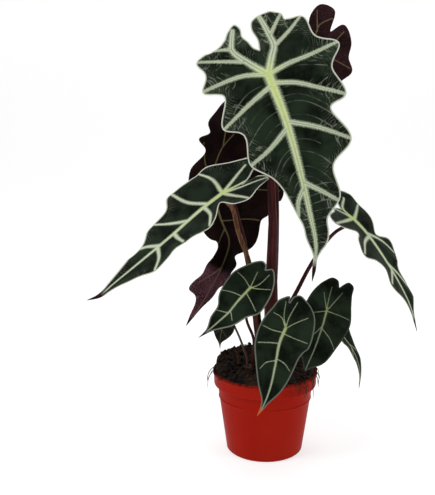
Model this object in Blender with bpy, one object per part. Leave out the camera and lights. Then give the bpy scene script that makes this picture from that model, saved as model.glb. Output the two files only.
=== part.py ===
"""A young alocasia in a plastic nursery pot, as separate solids at rest.

The pot stands on z = 0 with its axis on the Z axis. +X is to the right of the plant's front and
+Y is behind it. Lengths in the constants are millimetres. A blade has its own flat coordinates:
the origin is where the petiole joins, y runs down the midrib to the tip and x runs to the right
of somebody who looks at the upper face with the tip down.
"""

import math

import bmesh
import bpy
import numpy as np
from mathutils.geometry import delaunay_2d_cdt

MM = 0.001

# Pot
POT_HEIGHT = 95.5
POT_RIM_RADIUS = 60.0
POT_BASE_RADIUS = 43.5
POT_WALL = 1.8
POT_FLOOR = 2.4
POT_FOOT_CHAMFER = 2.0
RIM_BAND_HEIGHT = 17.0
RIM_BAND_STEP = 4.2
RIM_BEAD = 1.2
RIM_SLOPE = 2.0
RIDGE_BELOW_RIM = 30.0
RIDGE_PROUD = 0.9
RIDGE_HEIGHT = 2.4
POT_SIDES = 48
DRAIN_HOLES = 6
DRAIN_RADIUS = 4.0
DRAIN_CIRCLE = 32.0
DRAIN_TURN = 11.0
DRAIN_SIDES = 12

# Potting soil
SOIL_BELOW_RIM = 1.5
SOIL_HEAP = 10.0
SOIL_LUMP = 1.1
SOIL_SHOULDER = 4
SOIL_RINGS = 7
SOIL_SIDES = 36

# Clearances between neighbouring solids
FIT_GAP = 0.3
BLADE_GAP = 0.5

# Corms: centre x, centre y, radius, depth in the soil
CORM_SIDES = 20
CORM_PROUD = 1.5
CORMS = {
    "corm_main": (4.0, 3.0, 18.0, 24.0),
    "corm_left": (-17.0, -18.0, 8.0, 15.0),
    "corm_front": (22.0, -23.0, 9.0, 17.0),
}

# Blades and petioles
BLADE_THICKNESS = 1.4
BLADE_EDGE = 0.8
MIDRIB_KEEL = 2.2
MIDRIB_WIDTH = 3.2
FOLD_SOFTNESS = 5.0
BLADE_MESH = 5.5
BLADE_MESH_GROWTH = 0.028
PETIOLE_SIDES = 9
PETIOLE_SPACING = 20.0
PETIOLE_SEAT = 7.0
PETIOLE_STAND = 6.0
PETIOLE_TAPER = 1.4

# Sheath round the foot of the largest petiole
SHEATH_WALL = 1.1
SHEATH_HEIGHT = 168.0
SHEATH_MIDDLE = 40.0
SHEATH_SPREAD = 125.0
SHEATH_NARROWING = 0.75
SHEATH_STATIONS = 10
SHEATH_COLUMNS = 9

# Dry stub of a petiole that was cut off
STUB_FOOT = (-29.0, -9.0)
STUB_LEAN = (-5.0, -3.0)
STUB_HEIGHT = 19.0
STUB_RADIUS = 2.4
STUB_TIP_SHARE = 0.35
STUB_BEND = 0.2

# Edges sharper than this stay sharp where the faces are shaded smooth
SHARP_EDGE = 40.0

POT_RED = (0.330, 0.016, 0.008)
SOIL_BLACK = (0.020, 0.012, 0.008)
BLADE_GREEN = (0.020, 0.040, 0.028)
BLADE_PURPLE = (0.045, 0.014, 0.020)
PETIOLE_MAROON = (0.085, 0.022, 0.022)
PETIOLE_BROWN = (0.240, 0.095, 0.045)
PETIOLE_GREEN = (0.130, 0.140, 0.075)
CORM_BROWN = (0.110, 0.060, 0.035)

# Pot height for which the leaves' points are given: they rise with a taller pot
LEAF_DATUM = 95.5

# Each leaf: midrib points in space from the petiole to the tip of the drip, the way the upper face
# looks at the petiole and at the tip, the right and left margins from the notch to the drip, the
# corm that carries it, and its petiole: foot, points between, radius at the foot and at the blade.
LEAVES = {
    "tall": {
        "rib": [
            (0, -34, 426), (18, -50, 381), (32, -58, 335), (43, -60, 291), (52, -56, 246),
            (51, -50, 225), (49, -44, 208),
        ],
        "face": [(0.05, -1.0, 0.22), (0.10, -1.0, 0.0)],
        "fold": 0,
        "back": 12,
        "notch": (0, -28),
        "right": [
            (3, -40), (6, -56), (14, -69), (25, -65), (37, -63), (37, -53), (55, -52), (59, -21),
            (80, -9), (62, 19), (67, 46), (47, 53), (59, 88), (33, 109), (33, 144), (14, 162), (14, 175),
            (3, 205),
        ],
        "left": [
            (2, -40), (7, -54), (13, -66), (27, -51), (45, -48), (65, -41), (61, -19), (70, -7), (51, 6),
            (63, 40), (46, 54), (47, 88), (28, 108), (13, 148), (9, 166), (4, 191),
        ],
        "corm": "corm_main",
        "petiole": [
            (8, -2), (7, -4, 175), (7, -6, 225), (7, -8, 259), (5, -10, 298), (3, -14, 358), (0, -23, 405),
        ],
        "radii": (7.0, 3.6),
        "colour": PETIOLE_MAROON,
    },
    "west": {
        "rib": [
            (-48, -22, 301), (-67, -32, 287), (-101, -52, 258), (-132, -66, 233), (-162, -76, 209),
            (-174, -79, 199), (-187, -80, 194),
        ],
        "face": [(-0.40, -0.50, 0.77), (-0.35, -0.60, 0.72)],
        "fold": 10,
        "back": 0,
        "notch": (10, -22),
        "right": [
            (18, -36), (32, -42), (43, -34), (46, -18), (43, 6), (18, 13), (35, 34), (41, 55), (26, 75),
            (33, 96), (31, 112), (22, 134), (3, 168),
        ],
        "left": [
            (-2, -40), (8, -58), (20, -52), (30, -34), (51, -6), (45, 15), (50, 38), (31, 55), (33, 81),
            (23, 99), (20, 118), (3, 168),
        ],
        "corm": "corm_main",
        "petiole": [
            (-7, -5), (-10, -11, 144), (-12, -12, 162), (-18, -8, 218), (-32, -4, 258), (-38, -7, 283),
        ],
        "radii": (3.4, 2.8),
        "colour": PETIOLE_BROWN,
    },
    "east": {
        "rib": [
            (94, -10, 273), (105, -14, 262), (126, -22, 234), (144, -30, 205), (158, -36, 176),
            (163, -40, 155),
        ],
        "face": [(0.72, -0.40, 0.56), (0.85, -0.45, 0.20)],
        "fold": 4,
        "back": 0,
        "notch": (-4, -16),
        "right": [
            (4, -28), (14, -36), (26, -33), (37, -12), (30, 9), (17, 28), (34, 42), (31, 57), (17, 68),
            (17, 97), (3, 124),
        ],
        "left": [
            (14, -20), (27, -17), (48, -14), (37, 6), (23, 18), (37, 24), (43, 42), (30, 52), (19, 67),
            (23, 84), (3, 122),
        ],
        "corm": "corm_main",
        "petiole": [(16, 11), (20, 8, 140), (29, 5, 174), (36, 4, 189), (52, 4, 221), (77, 3, 256)],
        "radii": (3.0, 1.9),
        "colour": PETIOLE_MAROON,
    },
    "rear_high": {
        "rib": [(45, 34, 442), (42, 36, 412), (40, 36, 373), (38, 32, 334), (40, 26, 294)],
        "face": [(0.10, 1.0, 0.10), (0.10, 1.0, 0.10)],
        "fold": 0,
        "back": 0,
        "notch": (0, -16),
        "right": [
            (4, -26), (12, -38), (26, -32), (30, -8), (40, 12), (30, 34), (33, 60), (20, 84), (14, 114),
            (2, 134),
        ],
        "left": [
            (-3, -30), (-4, -50), (5, -62), (20, -58), (19, -34), (32, -43), (43, -25), (42, -9), (48, 5),
            (37, 17), (30, 34), (20, 52), (26, 75), (16, 100), (8, 124), (2, 134),
        ],
        "corm": "corm_main",
        "petiole": [(6, 15), (11, 13, 222), (11, 13, 282), (10, 14, 310), (19, 18, 379), (38, 24, 424)],
        "radii": (3.3, 2.4),
        "colour": PETIOLE_MAROON,
    },
    "rear_west": {
        "rib": [
            (-66, 50, 309), (-54, 44, 263), (-44, 36, 238), (-50, 30, 215), (-63, 22, 188), (-77, 16, 165),
            (-93, 12, 141),
        ],
        "face": [(-0.30, 1.0, 0.20), (-0.45, 1.0, -0.05)],
        "fold": 0,
        "back": 0,
        "notch": (-30, -20),
        "right": [
            (-50, -44), (-58, -70), (-54, -88), (-40, -86), (-26, -76), (-14, -65), (-14, -54), (2, -49),
            (-3, -36), (20, -16), (28, 20), (23, 54), (12, 99), (20, 139), (4, 173),
        ],
        "left": [
            (44, -28), (62, -40), (80, -20), (74, 10), (82, 34), (56, 63), (42, 66), (34, 76), (12, 92),
            (17, 100), (13, 122), (2, 160),
        ],
        "corm": "corm_main",
        "petiole": [(-6, 9), (-9, 9, 160), (-20, 14, 214), (-31, 22, 260), (-42, 32, 288), (-59, 38, 303)],
        "radii": (3.4, 2.6),
        "colour": PETIOLE_MAROON,
    },
    "low_west": {
        "rib": [
            (-17, -38, 200), (-30, -46, 187), (-40, -50, 175), (-50, -52, 166), (-61, -52, 156),
            (-73, -50, 146),
        ],
        "face": [(-0.12, -1.0, 0.40), (-0.20, -1.0, 0.25)],
        "fold": 3,
        "back": 0,
        "notch": (-1, -27),
        "right": [(4, -32), (13, -25), (20, -14), (25, 1), (26, 16), (18, 29), (13, 42), (2, 65)],
        "left": [
            (4, -31), (9, -32), (15, -26), (20, -16), (25, -2), (24, 12), (21, 25), (13, 40), (9, 54),
            (2, 66),
        ],
        "corm": "corm_left",
        "petiole": [(-14, -16), (-13, -16, 135), (-21, -18, 158), (-22, -24, 182)],
        "radii": (1.9, 1.4),
        "colour": PETIOLE_MAROON,
    },
    "low_front": {
        "rib": [
            (21, -66, 163), (15, -76, 151), (11, -84, 131), (5, -88, 103), (-2, -88, 84), (-8, -86, 73),
        ],
        "face": [(0.06, -1.0, 0.40), (0.10, -1.0, 0.15)],
        "fold": 4,
        "back": 0,
        "notch": (-7, -30),
        "right": [
            (-5, -38), (1, -42), (8, -39), (23, -26), (28, -10), (30, 10), (21, 34), (18, 47), (11, 66),
            (3, 83),
        ],
        "left": [(9, -36), (17, -29), (21, -16), (25, 0), (25, 20), (18, 49), (13, 64), (3, 83)],
        "corm": "corm_front",
        "petiole": [(19, -25), (20, -34, 122), (21, -46, 143)],
        "radii": (2.1, 1.5),
        "colour": PETIOLE_MAROON,
    },
    "low_east": {
        "rib": [
            (66, -36, 175), (62, -46, 164), (57, -52, 150), (51, -56, 134), (45, -58, 120), (41, -58, 108),
        ],
        "face": [(0.10, -1.0, 0.40), (0.20, -1.0, 0.20)],
        "fold": 3,
        "back": 0,
        "notch": (7, -33),
        "right": [
            (11, -38), (16, -42), (21, -39), (22, -28), (24, -14), (28, 4), (23, 30), (13, 57), (2, 69),
        ],
        "left": [
            (-3, -41), (2, -42), (10, -35), (18, -22), (23, -6), (25, 14), (18, 38), (10, 56), (2, 69),
        ],
        "corm": "corm_front",
        "petiole": [(24, -18), (38, -20, 135), (60, -24, 160)],
        "radii": (2.0, 1.4),
        "colour": PETIOLE_MAROON,
    },
    "narrow": {
        "rib": [
            (81, -12, 156), (88, -14, 139), (95, -16, 130), (103, -20, 114), (106, -24, 100), (105, -26, 84),
        ],
        "face": [(0.80, -0.35, 0.40), (0.90, -0.40, 0.20)],
        "fold": 6,
        "back": 0,
        "notch": (0, -10),
        "right": [(5, -16), (12, -12), (16, 0), (20, 16), (11, 28), (9, 44), (3, 64)],
        "left": [(5, -15), (10, -8), (12, 6), (10, 20), (8, 34), (6, 48), (2, 64)],
        "corm": "corm_front",
        "petiole": [(26, -25), (45, -18, 130), (66, -8, 145)],
        "radii": (1.7, 1.2),
        "colour": PETIOLE_GREEN,
    },
    "low_hanging": {
        "rib": [(-45, -10, 165), (-48, -14, 151), (-51, -16, 134), (-51, -16, 122)],
        "face": [(-0.10, -1.0, 0.30), (-0.10, -1.0, 0.10)],
        "fold": 4,
        "back": 0,
        "notch": (0, -8),
        "right": [(6, -12), (11, -4), (13, 10), (14, 24), (9, 33), (2, 40)],
        "left": [(5, -12), (10, -4), (11, 10), (10, 24), (7, 32), (2, 40)],
        "corm": "corm_left",
        "petiole": [(-20, -20), (-26, -15, 129), (-36, -6, 149)],
        "radii": (1.5, 1.1),
        "colour": PETIOLE_GREEN,
    },
}

POT_TAPER = (POT_RIM_RADIUS - RIM_BEAD - RIM_BAND_STEP - POT_BASE_RADIUS) / (POT_HEIGHT - RIM_BAND_HEIGHT)
SOIL_TOP = POT_HEIGHT - SOIL_BELOW_RIM
LEAF_RISE = np.array([0.0, 0.0, POT_HEIGHT - LEAF_DATUM])


def unit(vectors):
    """The vectors scaled to length 1."""
    return vectors / np.linalg.norm(vectors, axis=-1, keepdims=True)


def curve(points, spacing):
    """Points about `spacing` apart on a smooth curve through the given ones."""
    knots = np.asarray(points, float)
    step = np.diff(knots, axis=0)
    gap = np.linalg.norm(step, axis=1)
    slope = step / gap[:, None]
    before = np.vstack([slope[:1], slope])
    after = np.vstack([slope, slope[-1:]])
    gap_before = np.append(gap[:1], gap)[:, None]
    gap_after = np.append(gap, gap[-1:])[:, None]
    tangent = (before * gap_after + after * gap_before) / (gap_before + gap_after)
    rows = []
    for i, length in enumerate(gap):
        count = max(1, round(length / spacing))
        t = np.arange(count)[:, None] / count
        rows.append(
            (2 * t**3 - 3 * t**2 + 1) * knots[i]
            + (t**3 - 2 * t**2 + t) * length * tangent[i]
            + (3 * t**2 - 2 * t**3) * knots[i + 1]
            + (t**3 - t**2) * length * tangent[i + 1]
        )
    rows.append(knots[-1:])
    return np.vstack(rows)


def add_object(name, points, faces, colour, roughness):
    """A mesh object from points in millimetres, with its own material."""
    mesh = bpy.data.meshes.new(name)
    mesh.from_pydata([tuple(p * MM) for p in np.asarray(points, float)], [], faces)
    mesh.validate()
    solid = bmesh.new()
    solid.from_mesh(mesh)
    bmesh.ops.recalc_face_normals(solid, faces=solid.faces)
    solid.to_mesh(mesh)
    solid.free()
    mesh.shade_smooth()
    mesh.set_sharp_from_angle(angle=math.radians(SHARP_EDGE))
    thing = bpy.data.objects.new(name, mesh)
    bpy.context.scene.collection.objects.link(thing)
    material = bpy.data.materials.new(name)
    material.use_nodes = True
    shader = material.node_tree.nodes["Principled BSDF"]
    shader.inputs["Base Color"].default_value = (*colour, 1.0)
    shader.inputs["Roughness"].default_value = roughness
    mesh.materials.append(material)
    return thing


def cut(thing, cutter):
    """Takes the cutter's volume out of the object."""
    modifier = thing.modifiers.new(cutter.name, "BOOLEAN")
    modifier.operation = "DIFFERENCE"
    modifier.solver = "EXACT"
    modifier.object = cutter
    cutter.hide_render = True
    cutter.display_type = "WIRE"


def revolved(name, profile, sides, colour, roughness):
    """A solid of revolution about the Z axis. The profile runs from one point on the axis to another."""
    turns = np.arange(sides) / sides * 2 * math.pi
    around = np.column_stack([np.cos(turns), np.sin(turns), np.zeros(sides)])
    rings = [np.array([[0.0, 0.0, profile[0][1]]])]
    for radius, height in profile[1:-1]:
        rings.append(around * radius + [0.0, 0.0, height])
    rings.append(np.array([[0.0, 0.0, profile[-1][1]]]))
    faces = [(0, 1 + (j + 1) % sides, 1 + j) for j in range(sides)]
    for i in range(len(profile) - 3):
        low = 1 + i * sides
        for j in range(sides):
            k = (j + 1) % sides
            faces.append((low + j, low + k, low + sides + k, low + sides + j))
    last = 1 + (len(profile) - 2) * sides
    for j in range(sides):
        faces.append((last, last - sides + j, last - sides + (j + 1) % sides))
    return add_object(name, np.vstack(rings), faces, colour, roughness)


def body_radius(height):
    """The outer radius of the pot's tapered body at a height."""
    return POT_BASE_RADIUS + POT_TAPER * height


def inner_radius(height):
    """The inner radius of the pot at a height: it steps out with the rim band."""
    step = POT_HEIGHT - RIM_BAND_HEIGHT
    if height <= step:
        return body_radius(height) - POT_WALL
    share = min(1.0, (height - step) / RIM_SLOPE)
    top = POT_RIM_RADIUS - RIM_BEAD - POT_WALL
    return body_radius(step) - POT_WALL + share * (top - body_radius(step) + POT_WALL)


def make_pot():
    """The pot: tapered body, moulded ridge, wider rim band with a bead, floor with drain holes."""
    step = POT_HEIGHT - RIM_BAND_HEIGHT
    ridge = POT_HEIGHT - RIDGE_BELOW_RIM
    band = POT_RIM_RADIUS - RIM_BEAD
    profile = [
        (0, 0),
        (POT_BASE_RADIUS - POT_FOOT_CHAMFER, 0),
        (body_radius(POT_FOOT_CHAMFER), POT_FOOT_CHAMFER),
        (body_radius(ridge - RIDGE_HEIGHT), ridge - RIDGE_HEIGHT),
        (body_radius(ridge) + RIDGE_PROUD, ridge - RIDGE_HEIGHT / 2),
        (body_radius(ridge), ridge),
        (body_radius(step), step),
        (band - RIM_BEAD / 2, step + RIM_SLOPE / 2),
        (band, step + RIM_SLOPE),
        (band, POT_HEIGHT - 4 * RIM_BEAD),
        (POT_RIM_RADIUS, POT_HEIGHT - 3 * RIM_BEAD),
        (POT_RIM_RADIUS, POT_HEIGHT - RIM_BEAD / 2),
        (POT_RIM_RADIUS - RIM_BEAD / 2, POT_HEIGHT),
        (band - POT_WALL, POT_HEIGHT),
        (inner_radius(step + RIM_SLOPE), step + RIM_SLOPE),
        (inner_radius(step), step),
        (inner_radius(POT_FLOOR), POT_FLOOR),
        (0, POT_FLOOR),
    ]
    pot = revolved("pot", profile, POT_SIDES, POT_RED, 0.35)
    hole = [
        (0, -POT_FLOOR),
        (DRAIN_RADIUS, -POT_FLOOR),
        (DRAIN_RADIUS, 2 * POT_FLOOR),
        (0, 2 * POT_FLOOR),
    ]
    for i in range(DRAIN_HOLES):
        turn = math.radians(DRAIN_TURN) + i / DRAIN_HOLES * 2 * math.pi
        cutter = revolved(f"drain_cutter_{i}", hole, DRAIN_SIDES, POT_RED, 0.35)
        cutter.location = (DRAIN_CIRCLE * math.cos(turn) * MM, DRAIN_CIRCLE * math.sin(turn) * MM, 0)
        cut(pot, cutter)


def heap(x, y):
    """The height of the soil surface at a place in the pot."""
    reach = np.hypot(x, y) / inner_radius(SOIL_TOP)
    lumps = np.sin(x * 0.21 + 1.3) * np.cos(y * 0.17 - 0.4) + 0.6 * np.sin(x * 0.37 - y * 0.29)
    return SOIL_TOP + (SOIL_HEAP + SOIL_LUMP * lumps) * (1 - reach**SOIL_SHOULDER)


def corm_profile(radius, depth, top, grow):
    """A squat corm with a flat crown for the petioles, made larger all round by `grow`."""
    wide = radius + grow
    return [
        (0, top - depth - grow),
        (0.55 * wide, top - 0.95 * depth - grow),
        (0.92 * wide, top - 0.60 * depth - grow),
        (wide, top - 0.25 * depth),
        (0.96 * wide, top + grow),
        (0, top + grow),
    ]


def corm_top(name):
    """The height of a corm's crown, just above the soil."""
    x, y, _, _ = CORMS[name]
    return float(heap(x, y)) + CORM_PROUD


def make_soil():
    """The heap of potting soil, which follows the inside of the pot, with a pocket for each corm."""
    step = POT_HEIGHT - RIM_BAND_HEIGHT
    walls = [POT_FLOOR + FIT_GAP, step, step + RIM_SLOPE + FIT_GAP]
    turns = np.arange(SOIL_SIDES) / SOIL_SIDES * 2 * math.pi
    around = np.column_stack([np.cos(turns), np.sin(turns)])
    rings = []
    for height in walls:
        radius = inner_radius(height - FIT_GAP) - 2 * FIT_GAP
        rings.append(np.column_stack([around * radius, np.full(SOIL_SIDES, height)]))
    for i in range(SOIL_RINGS):
        plan = around * (inner_radius(SOIL_TOP) - 2 * FIT_GAP) * (1 - i / SOIL_RINGS)
        rings.append(np.column_stack([plan, heap(plan[:, 0], plan[:, 1])]))
    points = np.vstack([[0.0, 0.0, walls[0]], *rings, [0.0, 0.0, float(heap(0.0, 0.0))]])
    last = len(points) - 1
    faces = [(0, 1 + (j + 1) % SOIL_SIDES, 1 + j) for j in range(SOIL_SIDES)]
    for i in range(len(rings) - 1):
        low = 1 + i * SOIL_SIDES
        for j in range(SOIL_SIDES):
            k = (j + 1) % SOIL_SIDES
            faces.append((low + j, low + k, low + SOIL_SIDES + k))
            faces.append((low + j, low + SOIL_SIDES + k, low + SOIL_SIDES + j))
    for j in range(SOIL_SIDES):
        faces.append((last, last - SOIL_SIDES + j, last - SOIL_SIDES + (j + 1) % SOIL_SIDES))
    soil = add_object("potting_soil", points, faces, SOIL_BLACK, 0.95)
    for name, (x, y, radius, depth) in CORMS.items():
        top = corm_top(name)
        corm = revolved(name, corm_profile(radius, depth, top, 0.0), CORM_SIDES, CORM_BROWN, 0.75)
        corm.location = (x * MM, y * MM, 0)
        pocket = corm_profile(radius, depth, top, FIT_GAP)
        pocket[-2] = (pocket[-3][0], top + SOIL_HEAP)
        pocket[-1] = (0, top + SOIL_HEAP)
        cutter = revolved(f"{name}_pocket", pocket, CORM_SIDES, CORM_BROWN, 0.75)
        cutter.location = (x * MM, y * MM, 0)
        cut(soil, cutter)


class Blade:
    """The surface of one leaf blade, from its flat coordinates to space."""

    def __init__(self, leaf):
        self.line = curve(leaf["rib"], 2.0) + LEAF_RISE
        self.station = np.append(0.0, np.cumsum(np.linalg.norm(np.diff(self.line, axis=0), axis=1)))
        self.length = self.station[-1]
        self.tangent = unit(np.gradient(self.line, axis=0))
        self.face = unit(np.asarray(leaf["face"], float))
        self.fold = math.radians(leaf["fold"])
        self.back = math.radians(leaf["back"])
        self.behind = -min(y for _, y in leaf["right"] + leaf["left"])

    def along(self, values, y):
        """A row of vectors along the midrib, read at each y."""
        return np.column_stack([np.interp(y, self.station, values[:, k]) for k in range(3)])

    def frames(self, y):
        """Origin, direction to the tip and upper normal of the blade's cross line at each y."""
        on_rib = np.clip(y, 0, self.length)
        origin = self.along(self.line, on_rib)
        ahead = unit(self.along(self.tangent, on_rib))
        share = (on_rib / self.length)[:, None]
        up = self.face[0] * (1 - share) + self.face[1] * share
        up = unit(up - (up * ahead).sum(axis=1, keepdims=True) * ahead)
        past = np.clip(-y, 0, None)[:, None]
        turn = self.back * past / self.behind
        origin = origin - past * (np.cos(turn / 2) * ahead + np.sin(turn / 2) * up)
        normal = np.cos(turn) * up - np.sin(turn) * ahead
        return origin, ahead, normal, np.cross(up, ahead)

    def place(self, flat, lift):
        """The flat points in space, raised by `lift` along the upper normal."""
        origin, _, normal, across = self.frames(flat[:, 1])
        rise = math.sin(self.fold) * (np.hypot(flat[:, :1], FOLD_SOFTNESS) - FOLD_SOFTNESS)
        height = rise + np.reshape(lift, (-1, 1))
        return origin + math.cos(self.fold) * flat[:, :1] * across + height * normal


def blade_outline(leaf, length, spacing):
    """The margin as one closed line of flat points, with the tip of the drip once."""
    sides = []
    for side, sign in (("right", 1), ("left", -1)):
        flat = [leaf["notch"]] + [(sign * x, y) for x, y in leaf[side]] + [(0, length)]
        sides.append(curve(flat, spacing))
    return np.vstack([sides[0], sides[1][-2:0:-1]])


def inside(flat, outline, margin):
    """Which flat points are inside the outline and at least `margin` from it."""
    start = outline
    end = np.roll(outline, -1, axis=0)
    step = end - start
    offset = flat[:, None] - start[None]
    share = np.clip((offset * step).sum(axis=2) / (step**2).sum(axis=1), 0, 1)
    away = np.linalg.norm(offset - share[..., None] * step, axis=2).min(axis=1)
    rising = (start[:, 1] <= flat[:, None, 1]) != (end[:, 1] <= flat[:, None, 1])
    height = np.where(step[:, 1] == 0, 1, step[:, 1])
    crossing = start[:, 0] + (flat[:, None, 1] - start[:, 1]) / height * step[:, 0]
    return (np.count_nonzero(rising & (crossing > flat[:, None, 0]), axis=1) % 2 == 1) & (away > margin)


def border_of(triangles):
    """The directed edges that only one triangle has."""
    sides = {side for a, b, c in triangles for side in ((a, b), (b, c), (c, a))}
    return sorted(side for side in sides if (side[1], side[0]) not in sides)


def blade_triangles(leaf, length, spacing, rib_end):
    """The blade's flat points and triangles, with edges along the midrib and the margin."""
    outline = blade_outline(leaf, length, spacing)
    count = round(rib_end / spacing) + 1
    rib = np.column_stack([np.zeros(count), np.linspace(0, rib_end, count)])
    low, high = outline.min(axis=0), outline.max(axis=0)
    rows = np.arange(low[1], high[1], spacing * math.sqrt(3) / 2)
    columns = np.arange(low[0], high[0], spacing)
    grid = np.array([(x + (i % 2) * spacing / 2, y) for i, y in enumerate(rows) for x in columns])
    off_rib = abs(grid[:, 0]) > 0.55 * spacing
    past_rib = (grid[:, 1] < -spacing / 2) | (grid[:, 1] > rib_end)
    grid = grid[(off_rib | past_rib) & inside(grid, outline, spacing / 2)]
    flat = np.vstack([outline, rib, grid])
    edge = len(outline)
    lines = [(i, i + 1) for i in range(edge, edge + count - 1)]
    found = delaunay_2d_cdt([tuple(p) for p in flat], lines, [list(range(edge))], 1, 1e-6)
    return np.array([tuple(p) for p in found[0]]), [tuple(face) for face in found[2]]


def make_blade(name, leaf, blade):
    """One blade: an upper skin, a lower skin with a keel under the midrib, and the edge between them."""
    spacing = BLADE_MESH + BLADE_MESH_GROWTH * blade.length
    rib_end = blade.length - 2 * spacing
    flat, triangles = blade_triangles(leaf, blade.length, spacing, rib_end)
    border = border_of(triangles)
    near = np.exp(-((flat[:, 0] / MIDRIB_WIDTH) ** 2)) * (flat[:, 1] > -MIDRIB_WIDTH)
    keel = MIDRIB_KEEL * near * np.clip(1 - flat[:, 1] / rib_end, 0, 1)
    count = len(flat)
    on_edge = np.zeros(count, bool)
    on_edge[[a for a, _ in border]] = True
    half = np.where(on_edge, BLADE_EDGE / 2, BLADE_THICKNESS / 2)
    points = np.vstack([blade.place(flat, half), blade.place(flat, -half - keel)])
    faces = triangles + [(c + count, b + count, a + count) for a, b, c in triangles]
    for a, b in border:
        faces.append((b, a, a + count))
        faces.append((b, a + count, b + count))
    facing_away = leaf["face"][0][1] > 0
    return add_object(f"blade_{name}", points, faces, BLADE_PURPLE if facing_away else BLADE_GREEN, 0.4)


def frames_along(path):
    """Tangents and two cross directions along a path, without twist."""
    ahead = unit(np.gradient(path, axis=0))
    side = unit(np.cross(ahead[0], [0.0, 1.0, 0.0]))
    sides = []
    for tangent in ahead:
        side = unit(side - (side @ tangent) * tangent)
        sides.append(side)
    sides = np.array(sides)
    return ahead, sides, np.cross(ahead, sides)


def make_tube(name, path, radii, colour):
    """A round tapered stem along a path, closed at both ends."""
    _, side, front = frames_along(path)
    turns = np.arange(PETIOLE_SIDES) / PETIOLE_SIDES * 2 * math.pi
    ring = np.cos(turns)[None, :, None] * side[:, None] + np.sin(turns)[None, :, None] * front[:, None]
    points = (path[:, None] + radii[:, None, None] * ring).reshape(-1, 3)
    count = PETIOLE_SIDES
    faces = [tuple(range(count))[::-1], tuple(range(len(points) - count, len(points)))]
    for i in range(len(path) - 1):
        for j in range(count):
            k = (j + 1) % count
            faces.append((i * count + j, i * count + k, (i + 1) * count + k, (i + 1) * count + j))
    return add_object(name, points, faces, colour, 0.45)


def petiole_path(leaf, blade):
    """The centre line of a petiole, from its corm's crown to just under the blade."""
    origin, _, up, _ = blade.frames(np.zeros(1))
    under = BLADE_THICKNESS / 2 + MIDRIB_KEEL + BLADE_GAP
    top = origin[0] - under * up[0]
    foot_x, foot_y = leaf["petiole"][0]
    crown = corm_top(leaf["corm"]) + FIT_GAP
    foot = [(foot_x, foot_y, crown), (foot_x, foot_y, crown + PETIOLE_STAND)]
    seat = [top - PETIOLE_SEAT * up[0], top]
    between = [point + LEAF_RISE for point in np.array(leaf["petiole"][1:], float)]
    return curve(foot + between + seat, PETIOLE_SPACING)


def petiole_radii(path, foot, blade):
    """The radius at each point of a petiole, which tapers from its foot to the blade."""
    run = np.append(0.0, np.cumsum(np.linalg.norm(np.diff(path, axis=0), axis=1)))
    share = run / run[-1]
    return blade + (foot - blade) * (1 - share) ** PETIOLE_TAPER


def make_sheath(path, radii):
    """The sheath that wraps the tall petiole's foot: a gutter that narrows to a point."""
    run = np.append(0.0, np.cumsum(np.linalg.norm(np.diff(path, axis=0), axis=1)))
    wanted = np.linspace(FIT_GAP, SHEATH_HEIGHT, SHEATH_STATIONS)
    centre = np.column_stack([np.interp(wanted, run, path[:, k]) for k in range(3)])
    bore = np.interp(wanted, run, radii) + 2 * FIT_GAP
    _, side, front = frames_along(centre)
    spread = math.radians(SHEATH_SPREAD) * (1 - SHEATH_NARROWING * (wanted / SHEATH_HEIGHT) ** 3)
    turns = math.radians(SHEATH_MIDDLE) + np.linspace(-1, 1, SHEATH_COLUMNS)[None] * spread[:, None]
    ring = np.cos(turns)[..., None] * side[:, None] + np.sin(turns)[..., None] * front[:, None]
    inner = centre[:, None] + bore[:, None, None] * ring / math.cos(math.pi / PETIOLE_SIDES)
    outer = inner + SHEATH_WALL * ring
    points = np.vstack([inner.reshape(-1, 3), outer.reshape(-1, 3)])
    count = SHEATH_STATIONS * SHEATH_COLUMNS
    grid = np.arange(count).reshape(SHEATH_STATIONS, SHEATH_COLUMNS)
    faces = []
    for i in range(SHEATH_STATIONS - 1):
        for j in range(SHEATH_COLUMNS - 1):
            quad = (grid[i, j], grid[i, j + 1], grid[i + 1, j + 1], grid[i + 1, j])
            faces.append(quad)
            faces.append(tuple(v + count for v in quad[::-1]))
    border = [*grid[0, :], *grid[1:, -1], *grid[-1, -2::-1], *grid[-2:0:-1, 0]]
    for a, b in zip(border, border[1:] + border[:1]):
        faces.append((b, a, a + count, b + count))
    return add_object("sheath_tall", points, [tuple(int(v) for v in f) for f in faces], PETIOLE_MAROON, 0.5)


def make_stub():
    """The dry stub, which stands in the soil beside the plant."""
    x, y = STUB_FOOT
    turns = np.arange(PETIOLE_SIDES) / PETIOLE_SIDES * 2 * math.pi
    under = heap(x + STUB_RADIUS * np.cos(turns), y + STUB_RADIUS * np.sin(turns))
    foot = float(under.max()) + 2 * FIT_GAP
    tip = (x + STUB_LEAN[0], y + STUB_LEAN[1], foot + STUB_HEIGHT)
    middle = (x + STUB_BEND * STUB_LEAN[0], y + STUB_BEND * STUB_LEAN[1], foot + STUB_HEIGHT / 2)
    path = curve([(x, y, foot), middle, tip], STUB_HEIGHT / 4)
    radii = STUB_RADIUS * np.linspace(1.0, STUB_TIP_SHARE, len(path))
    make_tube("dry_stub", path, radii, PETIOLE_BROWN)


def main():
    """Clears the scene and builds every solid."""
    for thing in list(bpy.data.objects):
        bpy.data.objects.remove(thing)
    make_pot()
    make_soil()
    make_stub()
    for name, leaf in LEAVES.items():
        blade = Blade(leaf)
        make_blade(name, leaf, blade)
        path = petiole_path(leaf, blade)
        radii = petiole_radii(path, *leaf["radii"])
        make_tube(f"petiole_{name}", path, radii, leaf["colour"])
        if name == "tall":
            make_sheath(path, radii)


main()
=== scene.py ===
"""A young alocasia in a red nursery pot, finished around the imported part.

Lengths are millimetres until a mesh is made. The pot stands on z = 0 with its axis on Z, +X is to
the right of the plant's front and +Y is behind it. A blade has flat coordinates of its own: the
origin is where the petiole joins, y runs down the midrib to the tip and x runs to the right of
somebody who looks at the upper face with the tip down.
"""

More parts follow.
